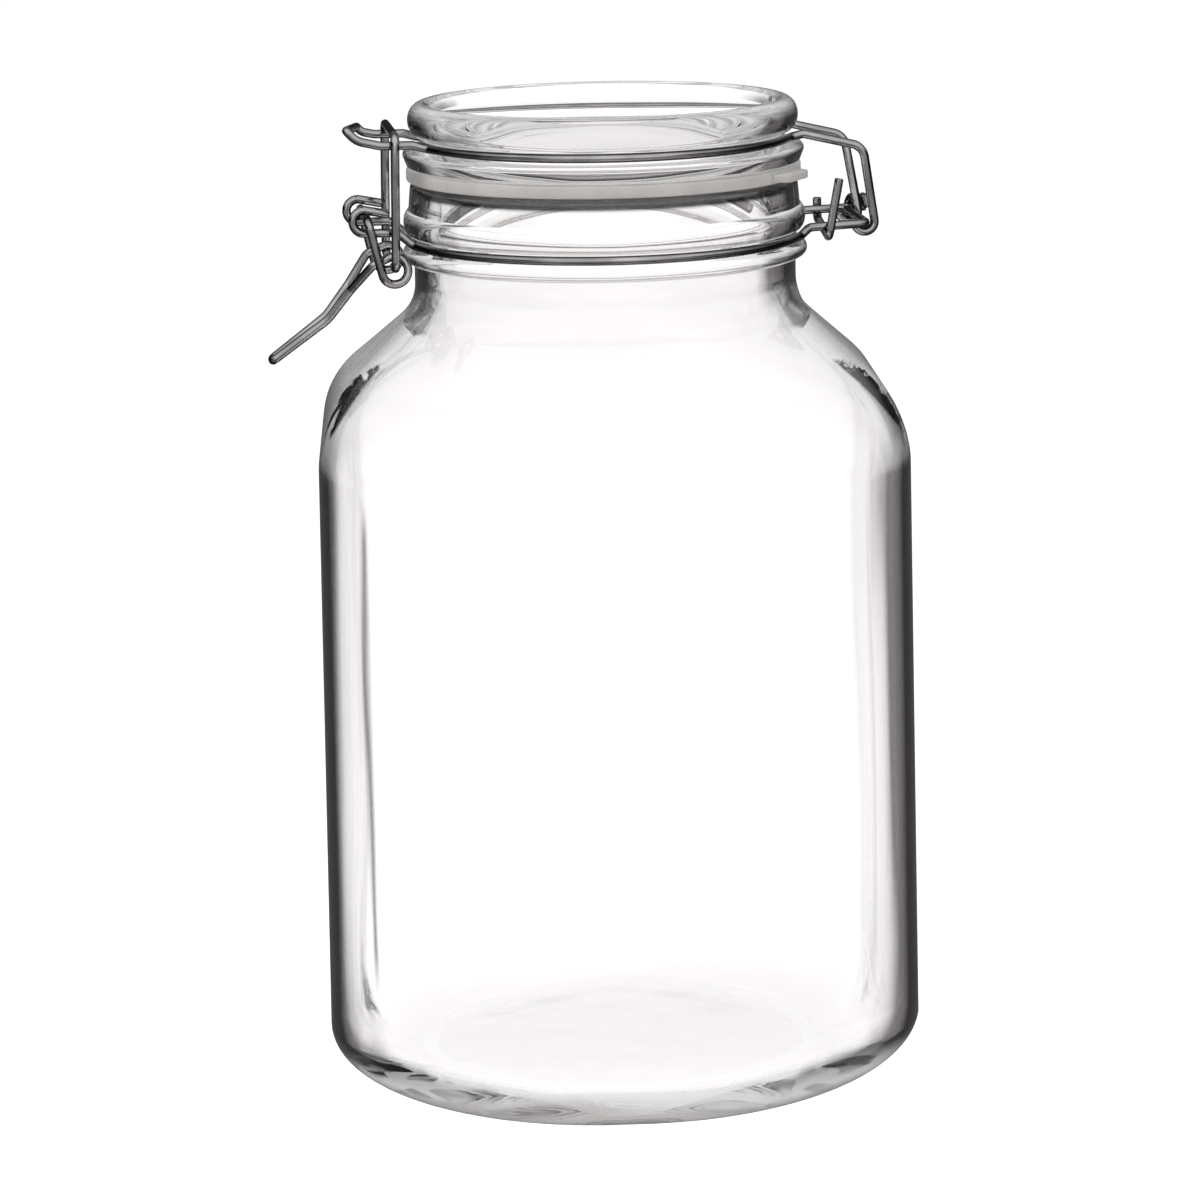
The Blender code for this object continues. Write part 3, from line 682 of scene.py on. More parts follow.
@dataclass(frozen=True)
class GlassBody:
    """The one-piece glass jar: a rounded square that turns into a round foot and a round neck."""

    half_top: float = 0.0726
    half_bottom: float = 0.0739
    corner_radius: float = 0.0367
    foot_radius: float = 0.0522
    heel_height: float = 0.0229
    side_height: float = 0.1402
    shoulder_radius: float = 0.0278
    shoulder_sweep: float = radians(46.5)
    neck_fillet: float = 0.0132
    wall: float = 0.0038
    base_thickness: float = 0.006
    floor_radius: float = 0.050
    heel_blend_share: float = 0.66
    shoulder_blend_share: float = 1.36
    mouth_radius: float = 0.0423
    neck_wall: float = 0.0062
    neck_in: float = 0.0007
    neck_band: float = 0.0056
    ledge_overhang: float = 0.0022
    ledge_height: float = 0.0039
    groove_rise: float = 0.00155
    groove_depth: float = 0.0004
    groove_half_height: float = 0.0013
    bead_overhang: float = 0.0018
    bead_rise: float = 0.0044
    bead_half_height: float = 0.0032
    edge_angle: float = radians(75)
    rim_rise: float = 0.0145
    rim_round: float = 0.0018
    push_up_radius: float = 0.024
    push_up_height: float = 0.0004
    push_up_edge: float = 0.024
    floor_wave: float = 0.00012
    floor_wave_scale: float = 55
    floor_wave_fade: float = 0.012
    inner_wave: float = 0.0005
    inner_wave_turns: float = 1.7
    inner_wave_rise: float = 22
    inner_wave_fade: float = 0.03
    sides: int = 192
    side_rows: int = 24
    floor_rows: int = 16
    heel_steps: int = 20
    convex_steps: int = 18
    concave_steps: int = 10
    edge_steps: int = 10
    rim_steps: int = 8
    push_up_steps: int = 8

    @property
    def side_top_z(self) -> float:
        """Where the straight side ends."""
        return self.heel_height + self.side_height

    @property
    def rim_radius(self) -> float:
        """The rim's outer radius."""
        return self.mouth_radius + self.neck_wall

    @property
    def neck_in_radius(self) -> float:
        """The neck's radius where it leaves the shoulder."""
        return self.rim_radius - self.neck_in

    @property
    def neck_base_z(self) -> float:
        """The neck's foot."""
        return self._outer_shoulder()[-1].z

    @property
    def neck_wire_z(self) -> float:
        """The height of the wire's groove."""
        return self.neck_base_z + self.neck_band + self.ledge_height + self.groove_rise

    @property
    def rim_z(self) -> float:
        """The rim's top."""
        return self.neck_wire_z + self.rim_rise

    @property
    def groove_radius(self) -> float:
        """The groove's floor."""
        return self.rim_radius - self.groove_depth

    def _shoulder(
        self, half_width: float, neck_radius: float, convex: float, concave: float
    ) -> Points:
        """Half widths and heights over the shoulder, from the side up to the neck.

        Args:
            half_width: Half the side's width.
            neck_radius: The neck's radius.
            convex: The lower arc's radius.
            concave: The upper arc's radius.

        Returns:
            The points, with the half width in X and the height in Z.
        """
        sweep = self.shoulder_sweep
        low_x = half_width - convex
        points = arc(low_x, self.side_top_z, convex, convex, 0, sweep, self.convex_steps)
        end_x = neck_radius + concave * (1 - cos(sweep))
        end_z = points[-1].z + (points[-1].x - end_x) / tan(sweep)
        points.append((points[-1] + at(end_x, end_z)) / 2)
        high = (neck_radius + concave, end_z + concave * sin(sweep))
        return points + arc(*high, concave, concave, pi + sweep, pi, self.concave_steps)

    def _outer_shoulder(self) -> Points:
        """The shoulder's outside."""
        radii = (self.shoulder_radius, self.neck_fillet)
        return self._shoulder(self.half_top, self.neck_in_radius, *radii)

    def _inner_shoulder(self) -> Points:
        """The shoulder's inside."""
        radii = (self.shoulder_radius - self.wall, self.neck_fillet + self.wall)
        return self._shoulder(self.half_top - self.wall, self.mouth_radius, *radii)

    def _heel(self, floor_radius: float, floor_z: float, half_width: float) -> Points:
        """Half widths and heights of the quarter ellipse from a floor's edge up to the side."""
        size = (half_width - floor_radius, self.heel_height - floor_z)
        return arc(floor_radius, self.heel_height, *size, -pi / 2, 0, self.heel_steps)

    def _side(self, bottom: Vector, top: Vector) -> Points:
        """Rows between the heel's top and the shoulder's foot."""
        return [bottom.lerp(top, row / self.side_rows) for row in range(1, self.side_rows)]

    def _corner_share(self, z: float, bottom: float, top: float, share: float) -> float:
        """The corner radius as a share of the half width: 1 where the section is round.

        Args:
            z: The section's height.
            bottom: The heel's lowest point.
            top: The shoulder's highest point.
            share: The straight side's share.

        Returns:
            The section's share.
        """
        if z < self.heel_height:
            rise = max(0, (z - bottom) / (self.heel_height - bottom))
            return 1 - (1 - share) * rise**self.heel_blend_share
        if z > self.side_top_z:
            rise = min(1, (z - self.side_top_z) / (top - self.side_top_z))
            return share + (1 - share) * rise**self.shoulder_blend_share
        return share

    def _underside(self) -> Points:
        """The shallow push-up under the foot, from the middle out.

        Returns:
            The points in order.
        """
        points = [at(CENTRE_RADIUS, self.push_up_height)]
        for part in steady(0, 1, self.push_up_steps):
            ease = part * part * (3 - 2 * part)
            radius = self.push_up_radius + self.push_up_edge * part
            points.append(at(radius, self.push_up_height * (1 - ease)))
        return points

    def _neck(self) -> Points:
        """The neck's outside: the ledge, the wire's groove and the bead above it.

        Returns:
            The points in order.
        """
        bottom = self.neck_base_z + self.neck_band
        turn = self.edge_angle
        ledge, bead = (
            arc(self.rim_radius, z, overhang, half_height, -turn, turn, self.edge_steps)
            for z, overhang, half_height in (
                (bottom + self.ledge_height / 2, self.ledge_overhang, self.ledge_height / 2),
                (self.neck_wire_z + self.bead_rise, self.bead_overhang, self.bead_half_height),
            )
        )
        half = self.groove_half_height
        groove = [at(self.groove_radius, self.neck_wire_z + rise) for rise in (-half, half)]
        return [at(self.neck_in_radius, bottom)] + ledge + groove + bead

    def _rim(self) -> Points:
        """The rounded rim, from its outside to the mouth.

        Returns:
            The points in order.
        """
        size = self.rim_round
        low = self.rim_z - size
        outer = arc(self.rim_radius - size, low, size, size, 0, pi / 2, self.rim_steps)
        return outer + arc(self.mouth_radius + size, low, size, size, pi / 2, pi, self.rim_steps)

    def _sections(self) -> list[tuple[Vector, float, bool]]:
        """Every section, up the outside and down the inside.

        Returns:
            Each section's half width and height, its corner share, and whether it is inside.
        """
        share = self.corner_radius / self.half_top
        heel = self._heel(self.foot_radius, 0, self.half_bottom)
        shoulder = self._outer_shoulder()
        outside = [
            (point, self._corner_share(point.z, 0, self.neck_base_z, share), False)
            for point in heel + self._side(heel[-1], shoulder[0]) + shoulder
        ]
        foot = [(point, 1, False) for point in self._underside()]
        neck = [(point, 1, False) for point in self._neck() + self._rim()]
        low = self.base_thickness
        share = (self.corner_radius - self.wall) / (self.half_top - self.wall)
        heel = self._heel(self.floor_radius, low, self.half_bottom - self.wall)
        shoulder = self._inner_shoulder()
        middle = at(CENTRE_RADIUS, low)
        floor = [middle.lerp(heel[0], row / self.floor_rows) for row in range(self.floor_rows)]
        inside = [
            (point, self._corner_share(point.z, low, shoulder[-1].z, share), True)
            for point in floor + heel + self._side(heel[-1], shoulder[0]) + shoulder
        ]
        return foot + outside + neck + inside[::-1]

    @staticmethod
    def _reach(angle: float, half_width: float, corner: float) -> float:
        """Distance from the axis to a rounded square's edge in one direction.

        Args:
            angle: The direction.
            half_width: Half the square's width.
            corner: Its corners' radius.

        Returns:
            The distance.
        """
        octant = abs((angle + pi / 4) % (pi / 2) - pi / 4)
        flat = half_width - corner
        if half_width * tan(octant) <= flat:
            return half_width / cos(octant)
        along = flat * (cos(octant) + sin(octant))
        across = flat * (cos(octant) - sin(octant))
        return along + sqrt(corner**2 - across**2)

    def _wave(self, angle: float, z: float) -> float:
        """How far the inner wall wanders, as blown glass does; nothing near its ends.

        Args:
            angle: The direction from the axis.
            z: The height.

        Returns:
            The distance outward.
        """
        turns = self.inner_wave_turns
        seed = Vector((turns * cos(angle), turns * sin(angle), self.inner_wave_rise * z))
        ends = (z - self.base_thickness, self.neck_base_z - z)
        fade = min(1, *(max(0, reach / self.inner_wave_fade) for reach in ends))
        return self.inner_wave * fade * noise.noise(seed)

    def _floor_wave(self, x: float, y: float, z: float) -> float:
        """How uneven the inner floor is, fading out up the heel.

        Args:
            x: The place along X.
            y: The place along Y.
            z: The height.

        Returns:
            The distance upward.
        """
        fade = max(0, 1 - (z - self.base_thickness) / self.floor_wave_fade)
        scale = self.floor_wave_scale
        return self.floor_wave * fade * noise.noise(Vector((x * scale, y * scale, 0)))

    def build(self, material: Material) -> Piece:
        """Loft the jar through its sections.

        Args:
            material: The glass.

        Returns:
            The jar's object.
        """
        shell = bmesh.new()
        start = bmesh.ops.create_circle(shell, cap_ends=True, segments=self.sides, radius=1)
        verts = start["verts"]
        edges = list(shell.edges)
        for index, (point, share, inside) in enumerate(self._sections()):
            if index:
                verts, edges = extruded_ring(shell, edges)
            for vert in verts:
                angle = atan2(vert.co.y, vert.co.x)
                reach = self._reach(angle, point.x, point.x * share)
                z = point.z
                if inside:
                    reach += self._wave(angle, z)
                    z += self._floor_wave(reach * cos(angle), reach * sin(angle), z)
                vert.co = (reach * cos(angle), reach * sin(angle), z)
        close(shell, edges)
        return finished_piece(shell, "jar_glass", material, Body.JAR, "glass_body")


@dataclass(frozen=True)
class GlassLid:
    """The pressed glass lid: a dished top in a raised ring, a wire groove, a flange and a plug."""

    body: GlassBody
    gasket_thickness: float = 0.0031
    flange_overhang: float = 0.0017
    flange_height: float = 0.0032
    flange_draft: float = 0.0012
    flange_top: float = 0.0042
    flange_round: float = 0.0006
    groove_rise: float = 0.0061
    groove_inset: float = 0.0050
    bead_half_width: float = 0.0035
    bead_half_height: float = 0.00427
    bead_rise: float = 0.0054
    bead_start: float = radians(165)
    bead_end: float = radians(-65)
    groove_start: float = radians(118)
    groove_end: float = radians(245)
    dish_radius: float = 0.0320
    dish_depth: float = 0.0092
    dish_crown: float = 0.0004
    plug_clearance: float = 0.0018
    plug_depth: float = 0.0070
    plug_wall: float = 0.0045
    plug_draft: float = 0.0006
    thickness: float = 0.0058
    edge_round: float = 0.0011
    dish_round: float = 0.0035
    round_step: float = radians(12)
    wire_clear: float = 0.0014
    bead_steps: int = 22
    groove_steps: int = 10
    steps: int = 168

    @property
    def bottom_z(self) -> float:
        """The flange's underside, on the gasket."""
        return self.body.rim_z + 2 * SEAT_GAP + self.gasket_thickness

    @property
    def wire_z(self) -> float:
        """The height of the lid's wire."""
        return self.bottom_z + self.groove_rise

    @property
    def groove_radius(self) -> float:
        """The wire groove's floor."""
        return self.body.rim_radius + self.flange_overhang - self.groove_inset

    @property
    def wire_radius(self) -> float:
        """The lid wire's middle line."""
        return self.groove_radius + self.wire_clear

    @property
    def plug_radius(self) -> float:
        """The plug's outside."""
        return self.body.mouth_radius - self.plug_clearance

    def _profile(self) -> Points:
        """The lid's half section, from the top's middle outwards and back under it.

        Returns:
            The points in order.
        """
        bead_z = self.wire_z + self.bead_rise
        size = (self.bead_half_width, self.bead_half_height)
        turn = (self.bead_start, self.bead_end)
        bead = arc(self.groove_radius, bead_z, *size, *turn, self.bead_steps)
        dish_z = bead_z + self.bead_half_height - self.dish_depth
        top = [at(0, dish_z - self.dish_crown), at(self.dish_radius, dish_z), bead[0]]
        size = (self.wire_clear, self.wire_clear)
        turn = (self.groove_start, self.groove_end)
        groove = arc(self.wire_radius, self.wire_z, *size, *turn, self.groove_steps)
        flange = self.body.rim_radius + self.flange_overhang
        plug = self.plug_radius
        low = self.bottom_z - self.plug_depth
        under = [
            groove[-1],
            at(flange - self.flange_round, self.bottom_z + self.flange_top),
            at(flange, self.bottom_z + self.flange_height),
            at(flange - self.flange_draft, self.bottom_z),
            at(plug, self.bottom_z),
            at(plug - self.plug_draft, low),
            at(plug - self.plug_wall, low),
            at(plug - self.plug_wall - self.plug_draft, dish_z - self.thickness),
            at(0, dish_z - self.thickness),
        ]
        dish = rounded(top, self.dish_round, self.round_step)
        return dish[:-1] + bead + groove[:-1] + rounded(under, self.edge_round, self.round_step)

    def build(self, glass: Material) -> Piece:
        """Turn the lid."""
        shell = spun(self._profile(), self.steps)
        return finished_piece(shell, "lid_glass", glass, Body.LID, "glass_lid")


@dataclass(frozen=True)
class Gasket:
    """The flat rubber sealing ring with its pull tab."""

    lid: GlassLid
    overhang: float = 0.0008
    edge_round: float = 0.0006
    tab_width: float = 0.0140
    tab_reach: float = 0.0040
    tab_turn: float = radians(-32 + 4.5)
    tab_thickness: float = 0.0020
    tab_corner: float = 0.0030
    tab_edge: float = 0.0004
    tab_edge_angle: float = radians(60)
    tab_corner_steps: int = 8
    tab_edge_steps: int = 3
    edge_steps: int = 5
    steps: int = 168

    def _ring(self) -> Shell:
        """The ring's rounded section, turned once round.

        Returns:
            The ring's mesh.
        """
        size = self.edge_round
        low = self.lid.body.rim_z + SEAT_GAP + size
        high = low + self.lid.gasket_thickness - 2 * size
        inner = self.lid.plug_radius + SEAT_GAP + size
        outer = self.lid.body.rim_radius + self.overhang - size
        profile = []
        corners = ((outer, high), (outer, low), (inner, low), (inner, high))
        for quarter, corner in enumerate(corners):
            start = pi / 2 * (1 - quarter)
            profile += arc(*corner, size, size, start, start - pi / 2, self.edge_steps)
        return spun(profile + profile[:1], self.steps)

    def _add_tab(self, shell: Shell) -> None:
        """Add the pull tab: a block with round corners and softened edges.

        Args:
            shell: The ring's mesh.
        """
        body = self.lid.body
        root = (self.lid.plug_radius + body.rim_radius) / 2
        tip = body.rim_radius + self.overhang + self.tab_reach
        middle_z = body.rim_z + SEAT_GAP + self.lid.gasket_thickness / 2
        size = (tip - root, self.tab_width, self.tab_thickness, 1)
        block = bmesh.new()
        bmesh.ops.create_cube(block, size=1, matrix=Matrix.Diagonal(size))
        bevel = {"profile": 0.5, "affect": "EDGES", "material": -1}
        outer = [
            edge
            for edge in block.edges
            if min(vert.co.x for vert in edge.verts) > 0
            and abs(edge.verts[0].co.z - edge.verts[1].co.z) > MERGE_DISTANCE
        ]
        bmesh.ops.bevel(
            block, geom=outer, offset=self.tab_corner, segments=self.tab_corner_steps, **bevel
        )
        rim = [edge for edge in block.edges if edge.calc_face_angle() > self.tab_edge_angle]
        bmesh.ops.bevel(
            block, geom=rim, offset=self.tab_edge, segments=self.tab_edge_steps, **bevel
        )
        turn = Matrix.Rotation(self.tab_turn, 4, "Z")
        placing = turn @ Matrix.Translation(((root + tip) / 2, 0, middle_z))
        bmesh.ops.transform(block, matrix=placing, verts=block.verts)
        bmesh.ops.recalc_face_normals(block, faces=block.faces)
        tab = kept_mesh("pull_tab", block)
        shell.from_mesh(tab)
        bpy.data.meshes.remove(tab)

    def build(self, rubber: Material) -> Piece:
        """Make the gasket.

        Args:
            rubber: Its finish.

        Returns:
            The gasket's object.
        """
        shell = self._ring()
        self._add_tab(shell)
        return finished_piece(shell, "sealing_gasket", rubber, Body.LID, "gasket")


@dataclass(frozen=True)
class Wire:
    """The wire stock and the ways it is bent."""

    radius: float = 0.0011
    bend_radius: float = 0.0022
    bend_step: float = radians(9)
    ring_step: float = radians(3)
    coil_step: float = radians(12)
    ring_runout: float = 0.0056
    end_chamfer: float = 0.00022
    turn: float = radians(4.5)
    sides: int = 20

    @property
    def pitch(self) -> float:
        """How far apart the middle lines of two wires that lie together are."""
        return 2 * self.radius + SEAT_GAP

    def bent(self, corners: Points) -> Points:
        """Bend a run of corners at the stock's own radius."""
        return rounded(corners, self.bend_radius, self.bend_step)

    def upright_arc(
        self, centre: Vector, radius: float, start: float, end: float, start_y: float, end_y: float
    ) -> Points:
        """Points round an axis along Y, drifting sideways on the way.

        Args:
            centre: A point on the axis.
            radius: The arc's radius.
            start: The first angle.
            end: The last angle.
            start_y: The first point's Y.
            end_y: The last point's Y.

        Returns:
            The points in order.
        """
        count = max(2, ceil(abs(end - start) / self.coil_step))
        points = arc(centre.x, centre.z, radius, radius, start, end, count)
        for point, y in zip(points, steady(start_y, end_y, count)):
            point.y = y
        return points

    def level_arc(self, radius: float, z: float, start: float, end: float) -> Points:
        """Points of a level run round the jar's axis, from one angle to another."""
        turns = steady(start, end, ceil(abs(end - start) / self.ring_step))
        return [Vector((radius * cos(turn), radius * sin(turn), z)) for turn in turns]

    def runout(self, radius: float, half_spacing: float, sign: int) -> tuple[float, Vector]:
        """Where a ring ends on its way to a leg.

        Args:
            radius: The ring's radius.
            half_spacing: Half the distance between the two legs.
            sign: 1 at the hinge and -1 at the clasp.

        Returns:
            The ring's last angle from the leg's side, and the leg's root on the ring's tangent.
        """
        passes = 20
        angle = atan2(half_spacing, radius)
        for _ in range(passes):
            side = half_spacing + self.ring_runout * cos(angle)
            angle = atan2(side, sqrt(radius**2 - side**2))
        root_x = radius * cos(angle) + self.ring_runout * sin(angle)
        root_y = radius * sin(angle) - self.ring_runout * cos(angle)
        return angle, Vector((sign * root_x, root_y, 0))

    @staticmethod
    def touch_angle(point: Vector, centre: Vector, radius: float, side: int) -> float:
        """Where a straight wire from a point meets a loop round an axis along Y."""
        reach = point - centre
        return atan2(reach.z, reach.x) + side * acos(radius / hypot(reach.x, reach.z))

    def _stations(self, path: Points) -> list[tuple[Matrix, float, float]]:
        """The frames along a path without twist, with the scale and the length so far.

        Args:
            path: The wire's middle line.

        Returns:
            A placing matrix, a share of the radius and the distance along for each ring.
        """
        points = [path[0]]
        for point in path[1:]:
            if (point - points[-1]).length > MERGE_DISTANCE:
                points.append(point)
        first = (points[1] - points[0]).normalized()
        last = (points[-1] - points[-2]).normalized()
        points.insert(1, points[0] + first * self.end_chamfer)
        points.insert(-1, points[-1] - last * self.end_chamfer)
        frames = []
        up = first.orthogonal().normalized()
        along = 0
        end_share = 1 - self.end_chamfer / self.radius
        for index, point in enumerate(points):
            before = points[max(0, index - 1)]
            after = points[min(len(points) - 1, index + 1)]
            tangent = (after - before).normalized()
            up = (up - tangent * up.dot(tangent)).normalized()
            along += (point - before).length
            placing = Matrix((up, tangent.cross(up), tangent)).transposed().to_4x4()
            placing.translation = point
            share = end_share if index in (0, len(points) - 1) else 1
            frames.append((placing, share, along))
        return frames

    def _sweep(self, path: Points) -> Shell:
        """Draw the round wire along a path in the harness frame, with chamfered cut ends.

        Args:
            path: The wire's middle line.

        Returns:
            The closed wire, turned into the jar's frame.
        """
        shell = bmesh.new()
        layer = shell.verts.layers.float_vector.new(WIRE_SPACE)
        size = {"segments": self.sides, "radius": self.radius}
        verts = bmesh.ops.create_circle(shell, cap_ends=True, **size)["verts"]
        edges = list(shell.edges)
        for vert in verts:
            vert[layer] = vert.co
        placed = Matrix.Identity(4)
        for index, (placing, share, along) in enumerate(self._stations(path)):
            if index:
                verts, edges = extruded_ring(shell, edges)
            sized = placing @ Matrix.Diagonal((share, share, 1, 1))
            bmesh.ops.transform(shell, matrix=sized @ placed.inverted(), verts=verts)
            placed = sized
            for vert in verts:
                vert[layer].z = along
        close(shell, edges)
        turn = Matrix.Rotation(self.turn, 3, "Z")
        bmesh.ops.rotate(shell, cent=(0, 0, 0), matrix=turn, verts=shell.verts)
        return shell

    def piece(self, path: Points, name: str, steel: Material, body: Body, node: str) -> Piece:
        """Draw a wire and dress it, in the place of a CAD node."""
        return finished_piece(self._sweep(path), name, steel, body, node)


@dataclass(frozen=True)
class Harness:
    """The places that the wires share, all in the harness frame."""

    body: GlassBody
    lid: GlassLid
    wire: Wire
    ear_half_spacing: float = 0.0115
    ear_reach: float = 0.0114
    ear_radius: float = 0.0029
    ear_lift: float = 0.0037
    hinge_reach: float = 0.0142
    hinge_lift: float = 0.0027
    hook_lift: float = 0.0011
    pivot_inset: float = 0.0007
    eye_radius: float = 0.0033
    eye_inset: float = 0.0064
    eye_drop: float = 0.0126

    @property
    def neck_radius(self) -> float:
        """The neck wire's middle line."""
        return self.body.groove_radius + SEAT_GAP + self.wire.radius

    @property
    def ear_centre(self) -> Vector:
        """The middle of the neck wire's ears."""
        z = self.body.neck_wire_z + self.ear_lift + self.ear_radius
        return at(-(self.neck_radius + self.ear_reach), z)

    @property
    def lever_axis(self) -> Vector:
        """A point on the lever's axis."""
        return self.ear_centre + at(self.pivot_inset, self.ear_radius - self.wire.pitch)

    @property
    def eye_centre(self) -> Vector:
        """The middle of the lever's eyes."""
        return self.lever_axis + at(self.eye_inset, -self.eye_drop)

    @property
    def bail_axis(self) -> Vector:
        """A point on the bail link's axis."""
        return self.eye_centre + at(0, self.eye_radius - self.wire.pitch)

    @property
    def hinge_axis(self) -> Vector:
        """A point on the lid's axis."""
        return at(self.neck_radius + self.hinge_reach, self.body.neck_wire_z + self.hinge_lift)

    @property
    def hook_z(self) -> float:
        """The height of the lid wire's hook."""
        return self.lid.wire_z + self.hook_lift

    @property
    def lever_half_width(self) -> float:
        """Half the lever's width over its eyes, at the middle lines."""
        return self.ear_half_spacing + 2 * self.wire.radius + RUNNING_GAP

    @property
    def bail_half_width(self) -> float:
        """Half the bail link's width at the middle lines."""
        return self.lever_half_width + self.wire.pitch


@dataclass(frozen=True)
class NeckWires:
    """The two wires in the neck's groove: ears at the clasp, legs and the hinge bar behind."""

    harness: Harness
    ear_return: float = 0.0060
    ear_tail_drop: float = 0.0012
    ear_ramp: float = 0.0044
    leg_half_spacing: float = 0.0165
    leg_lift: float = 0.0021
    leg_ramp: float = 0.0022
    coil_pitch: float = 0.0029
    coil_turns: float = 1.75
    coil_offset: float = 0.0008
    leg_end: float = 0.0058

    def _ring_and_ear(self) -> tuple[Points, Points]:
        """The far wire from its ear's end round the neck, and its leg's first corners.

        Returns:
            The run's points, and the leg's corners.
        """
        harness = self.harness
        wire = harness.wire
        z = harness.body.neck_wire_z
        y = harness.ear_half_spacing
        leg_y = self.leg_half_spacing
        radius = harness.ear_radius
        ear_angle, ear_root = wire.runout(harness.neck_radius, y, -1)
        leg_angle, leg_root = wire.runout(harness.neck_radius, leg_y, 1)
        centre = harness.ear_centre
        tail = at(centre.x + self.ear_return, centre.z + radius - self.ear_tail_drop, y)
        curl = wire.upright_arc(centre, radius, pi / 2, pi + pi / 2, y, y)
        ring = wire.level_arc(harness.neck_radius, z, pi - ear_angle, leg_angle)
        ramp_start = at(ear_root.x - self.ear_ramp, centre.z - radius, y)
        ramp = [curl[-1], ramp_start, at(ear_root.x, z, y), ring[0]]
        lifted = at(leg_root.x + self.leg_ramp, z + self.leg_lift, leg_y)
        leg = [ring[-1], at(leg_root.x, z, leg_y), lifted]
        return [tail] + curl[:-1] + wire.bent(ramp)[:-1] + ring[:-1], leg

    def leg_height(self, x: float) -> float:
        """The legs' height at a distance from the jar's axis.

        Args:
            x: The distance.

        Returns:
            The middle line's height.
        """
        harness = self.harness
        _, root = harness.wire.runout(harness.neck_radius, self.leg_half_spacing, 1)
        start_x = root.x + self.leg_ramp
        start_z = harness.body.neck_wire_z + self.leg_lift
        axis = harness.hinge_axis
        return start_z + (axis.z - start_z) * (x - start_x) / (axis.x - start_x)

    def _rear_path(self) -> Points:
        """Far ear, round the back of the neck, and the far leg to its end in the coil.

        Returns:
            The points in order.
        """
        path, leg = self._ring_and_ear()
        axis = self.harness.hinge_axis
        leg.append(at(axis.x + self.leg_end, axis.z, self.leg_half_spacing))
        return path + self.harness.wire.bent(leg)

    def _front_path(self) -> Points:
        """Near ear, round the front of the neck, the near leg, the hinge bar and the coil.

        Returns:
            The points in order.
        """
        wire = self.harness.wire
        axis = self.harness.hinge_axis
        path, leg = (mirrored(points) for points in self._ring_and_ear())
        far = self.leg_half_spacing
        coil_x = axis.x + self.coil_offset
        sweep = self.coil_turns * 2 * pi
        coil = []
        for share in steady(0, 1, ceil(sweep / wire.coil_step)):
            x = coil_x + self.coil_pitch * self.coil_turns * share
            z = axis.z - wire.pitch * cos(sweep * share)
            coil.append(at(x, z, far + wire.pitch * sin(sweep * share)))
        leg += [at(axis.x, axis.z, y) for y in (-far, far - 2 * wire.pitch)]
        leg += [at(coil_x, axis.z - wire.pitch, far - wire.radius), coil[0]]
        return path + wire.bent(leg)[:-1] + coil

    def build(self, side: Side, steel: Material) -> Piece:
        """Draw one of the two neck wires.

        Args:
            side: Which of them.
            steel: Its finish.

        Returns:
            The wire's object.
        """
        near = side is Side.NEAR
        path = self._front_path() if near else self._rear_path()
        name = "neck_wire_near" if near else "neck_wire_far"
        node = "front_neck_wire" if near else "rear_neck_wire"
        return self.harness.wire.piece(path, name, steel, Body.JAR, node)


@dataclass(frozen=True)
class TieWire:
    """The short wire that binds the two legs beside the neck."""

    neck_wires: NeckWires
    distance: float = 0.0078
    tail: float = 0.0145
    tail_lean: float = 0.0027
    skew: float = 0.0036
    end: float = 0.0052

    def build(self, steel: Material) -> Piece:
        """Draw the tie wire.

        Args:
            steel: Its finish.

        Returns:
            The wire's object.
        """
        wire = self.neck_wires.harness.wire
        far_x = self.neck_wires.harness.neck_radius + self.distance
        near_x = far_x - self.skew
        far_z = self.neck_wires.leg_height(far_x) - wire.pitch
        near_z = self.neck_wires.leg_height(near_x) - wire.pitch
        side = self.neck_wires.leg_half_spacing + wire.pitch
        corners = [
            at(near_x + self.tail_lean, near_z + self.tail, -side),
            at(near_x, near_z, -side),
            at(far_x, far_z, side),
            at(far_x, far_z + self.end, side),
        ]
        return wire.piece(wire.bent(corners), "leg_tie_wire", steel, Body.JAR, "tie_wire")


@dataclass(frozen=True)
class HookArm:
    """The sizes of one arm of the lid wire's hook."""

    length: float
    toe: float
    rise: float


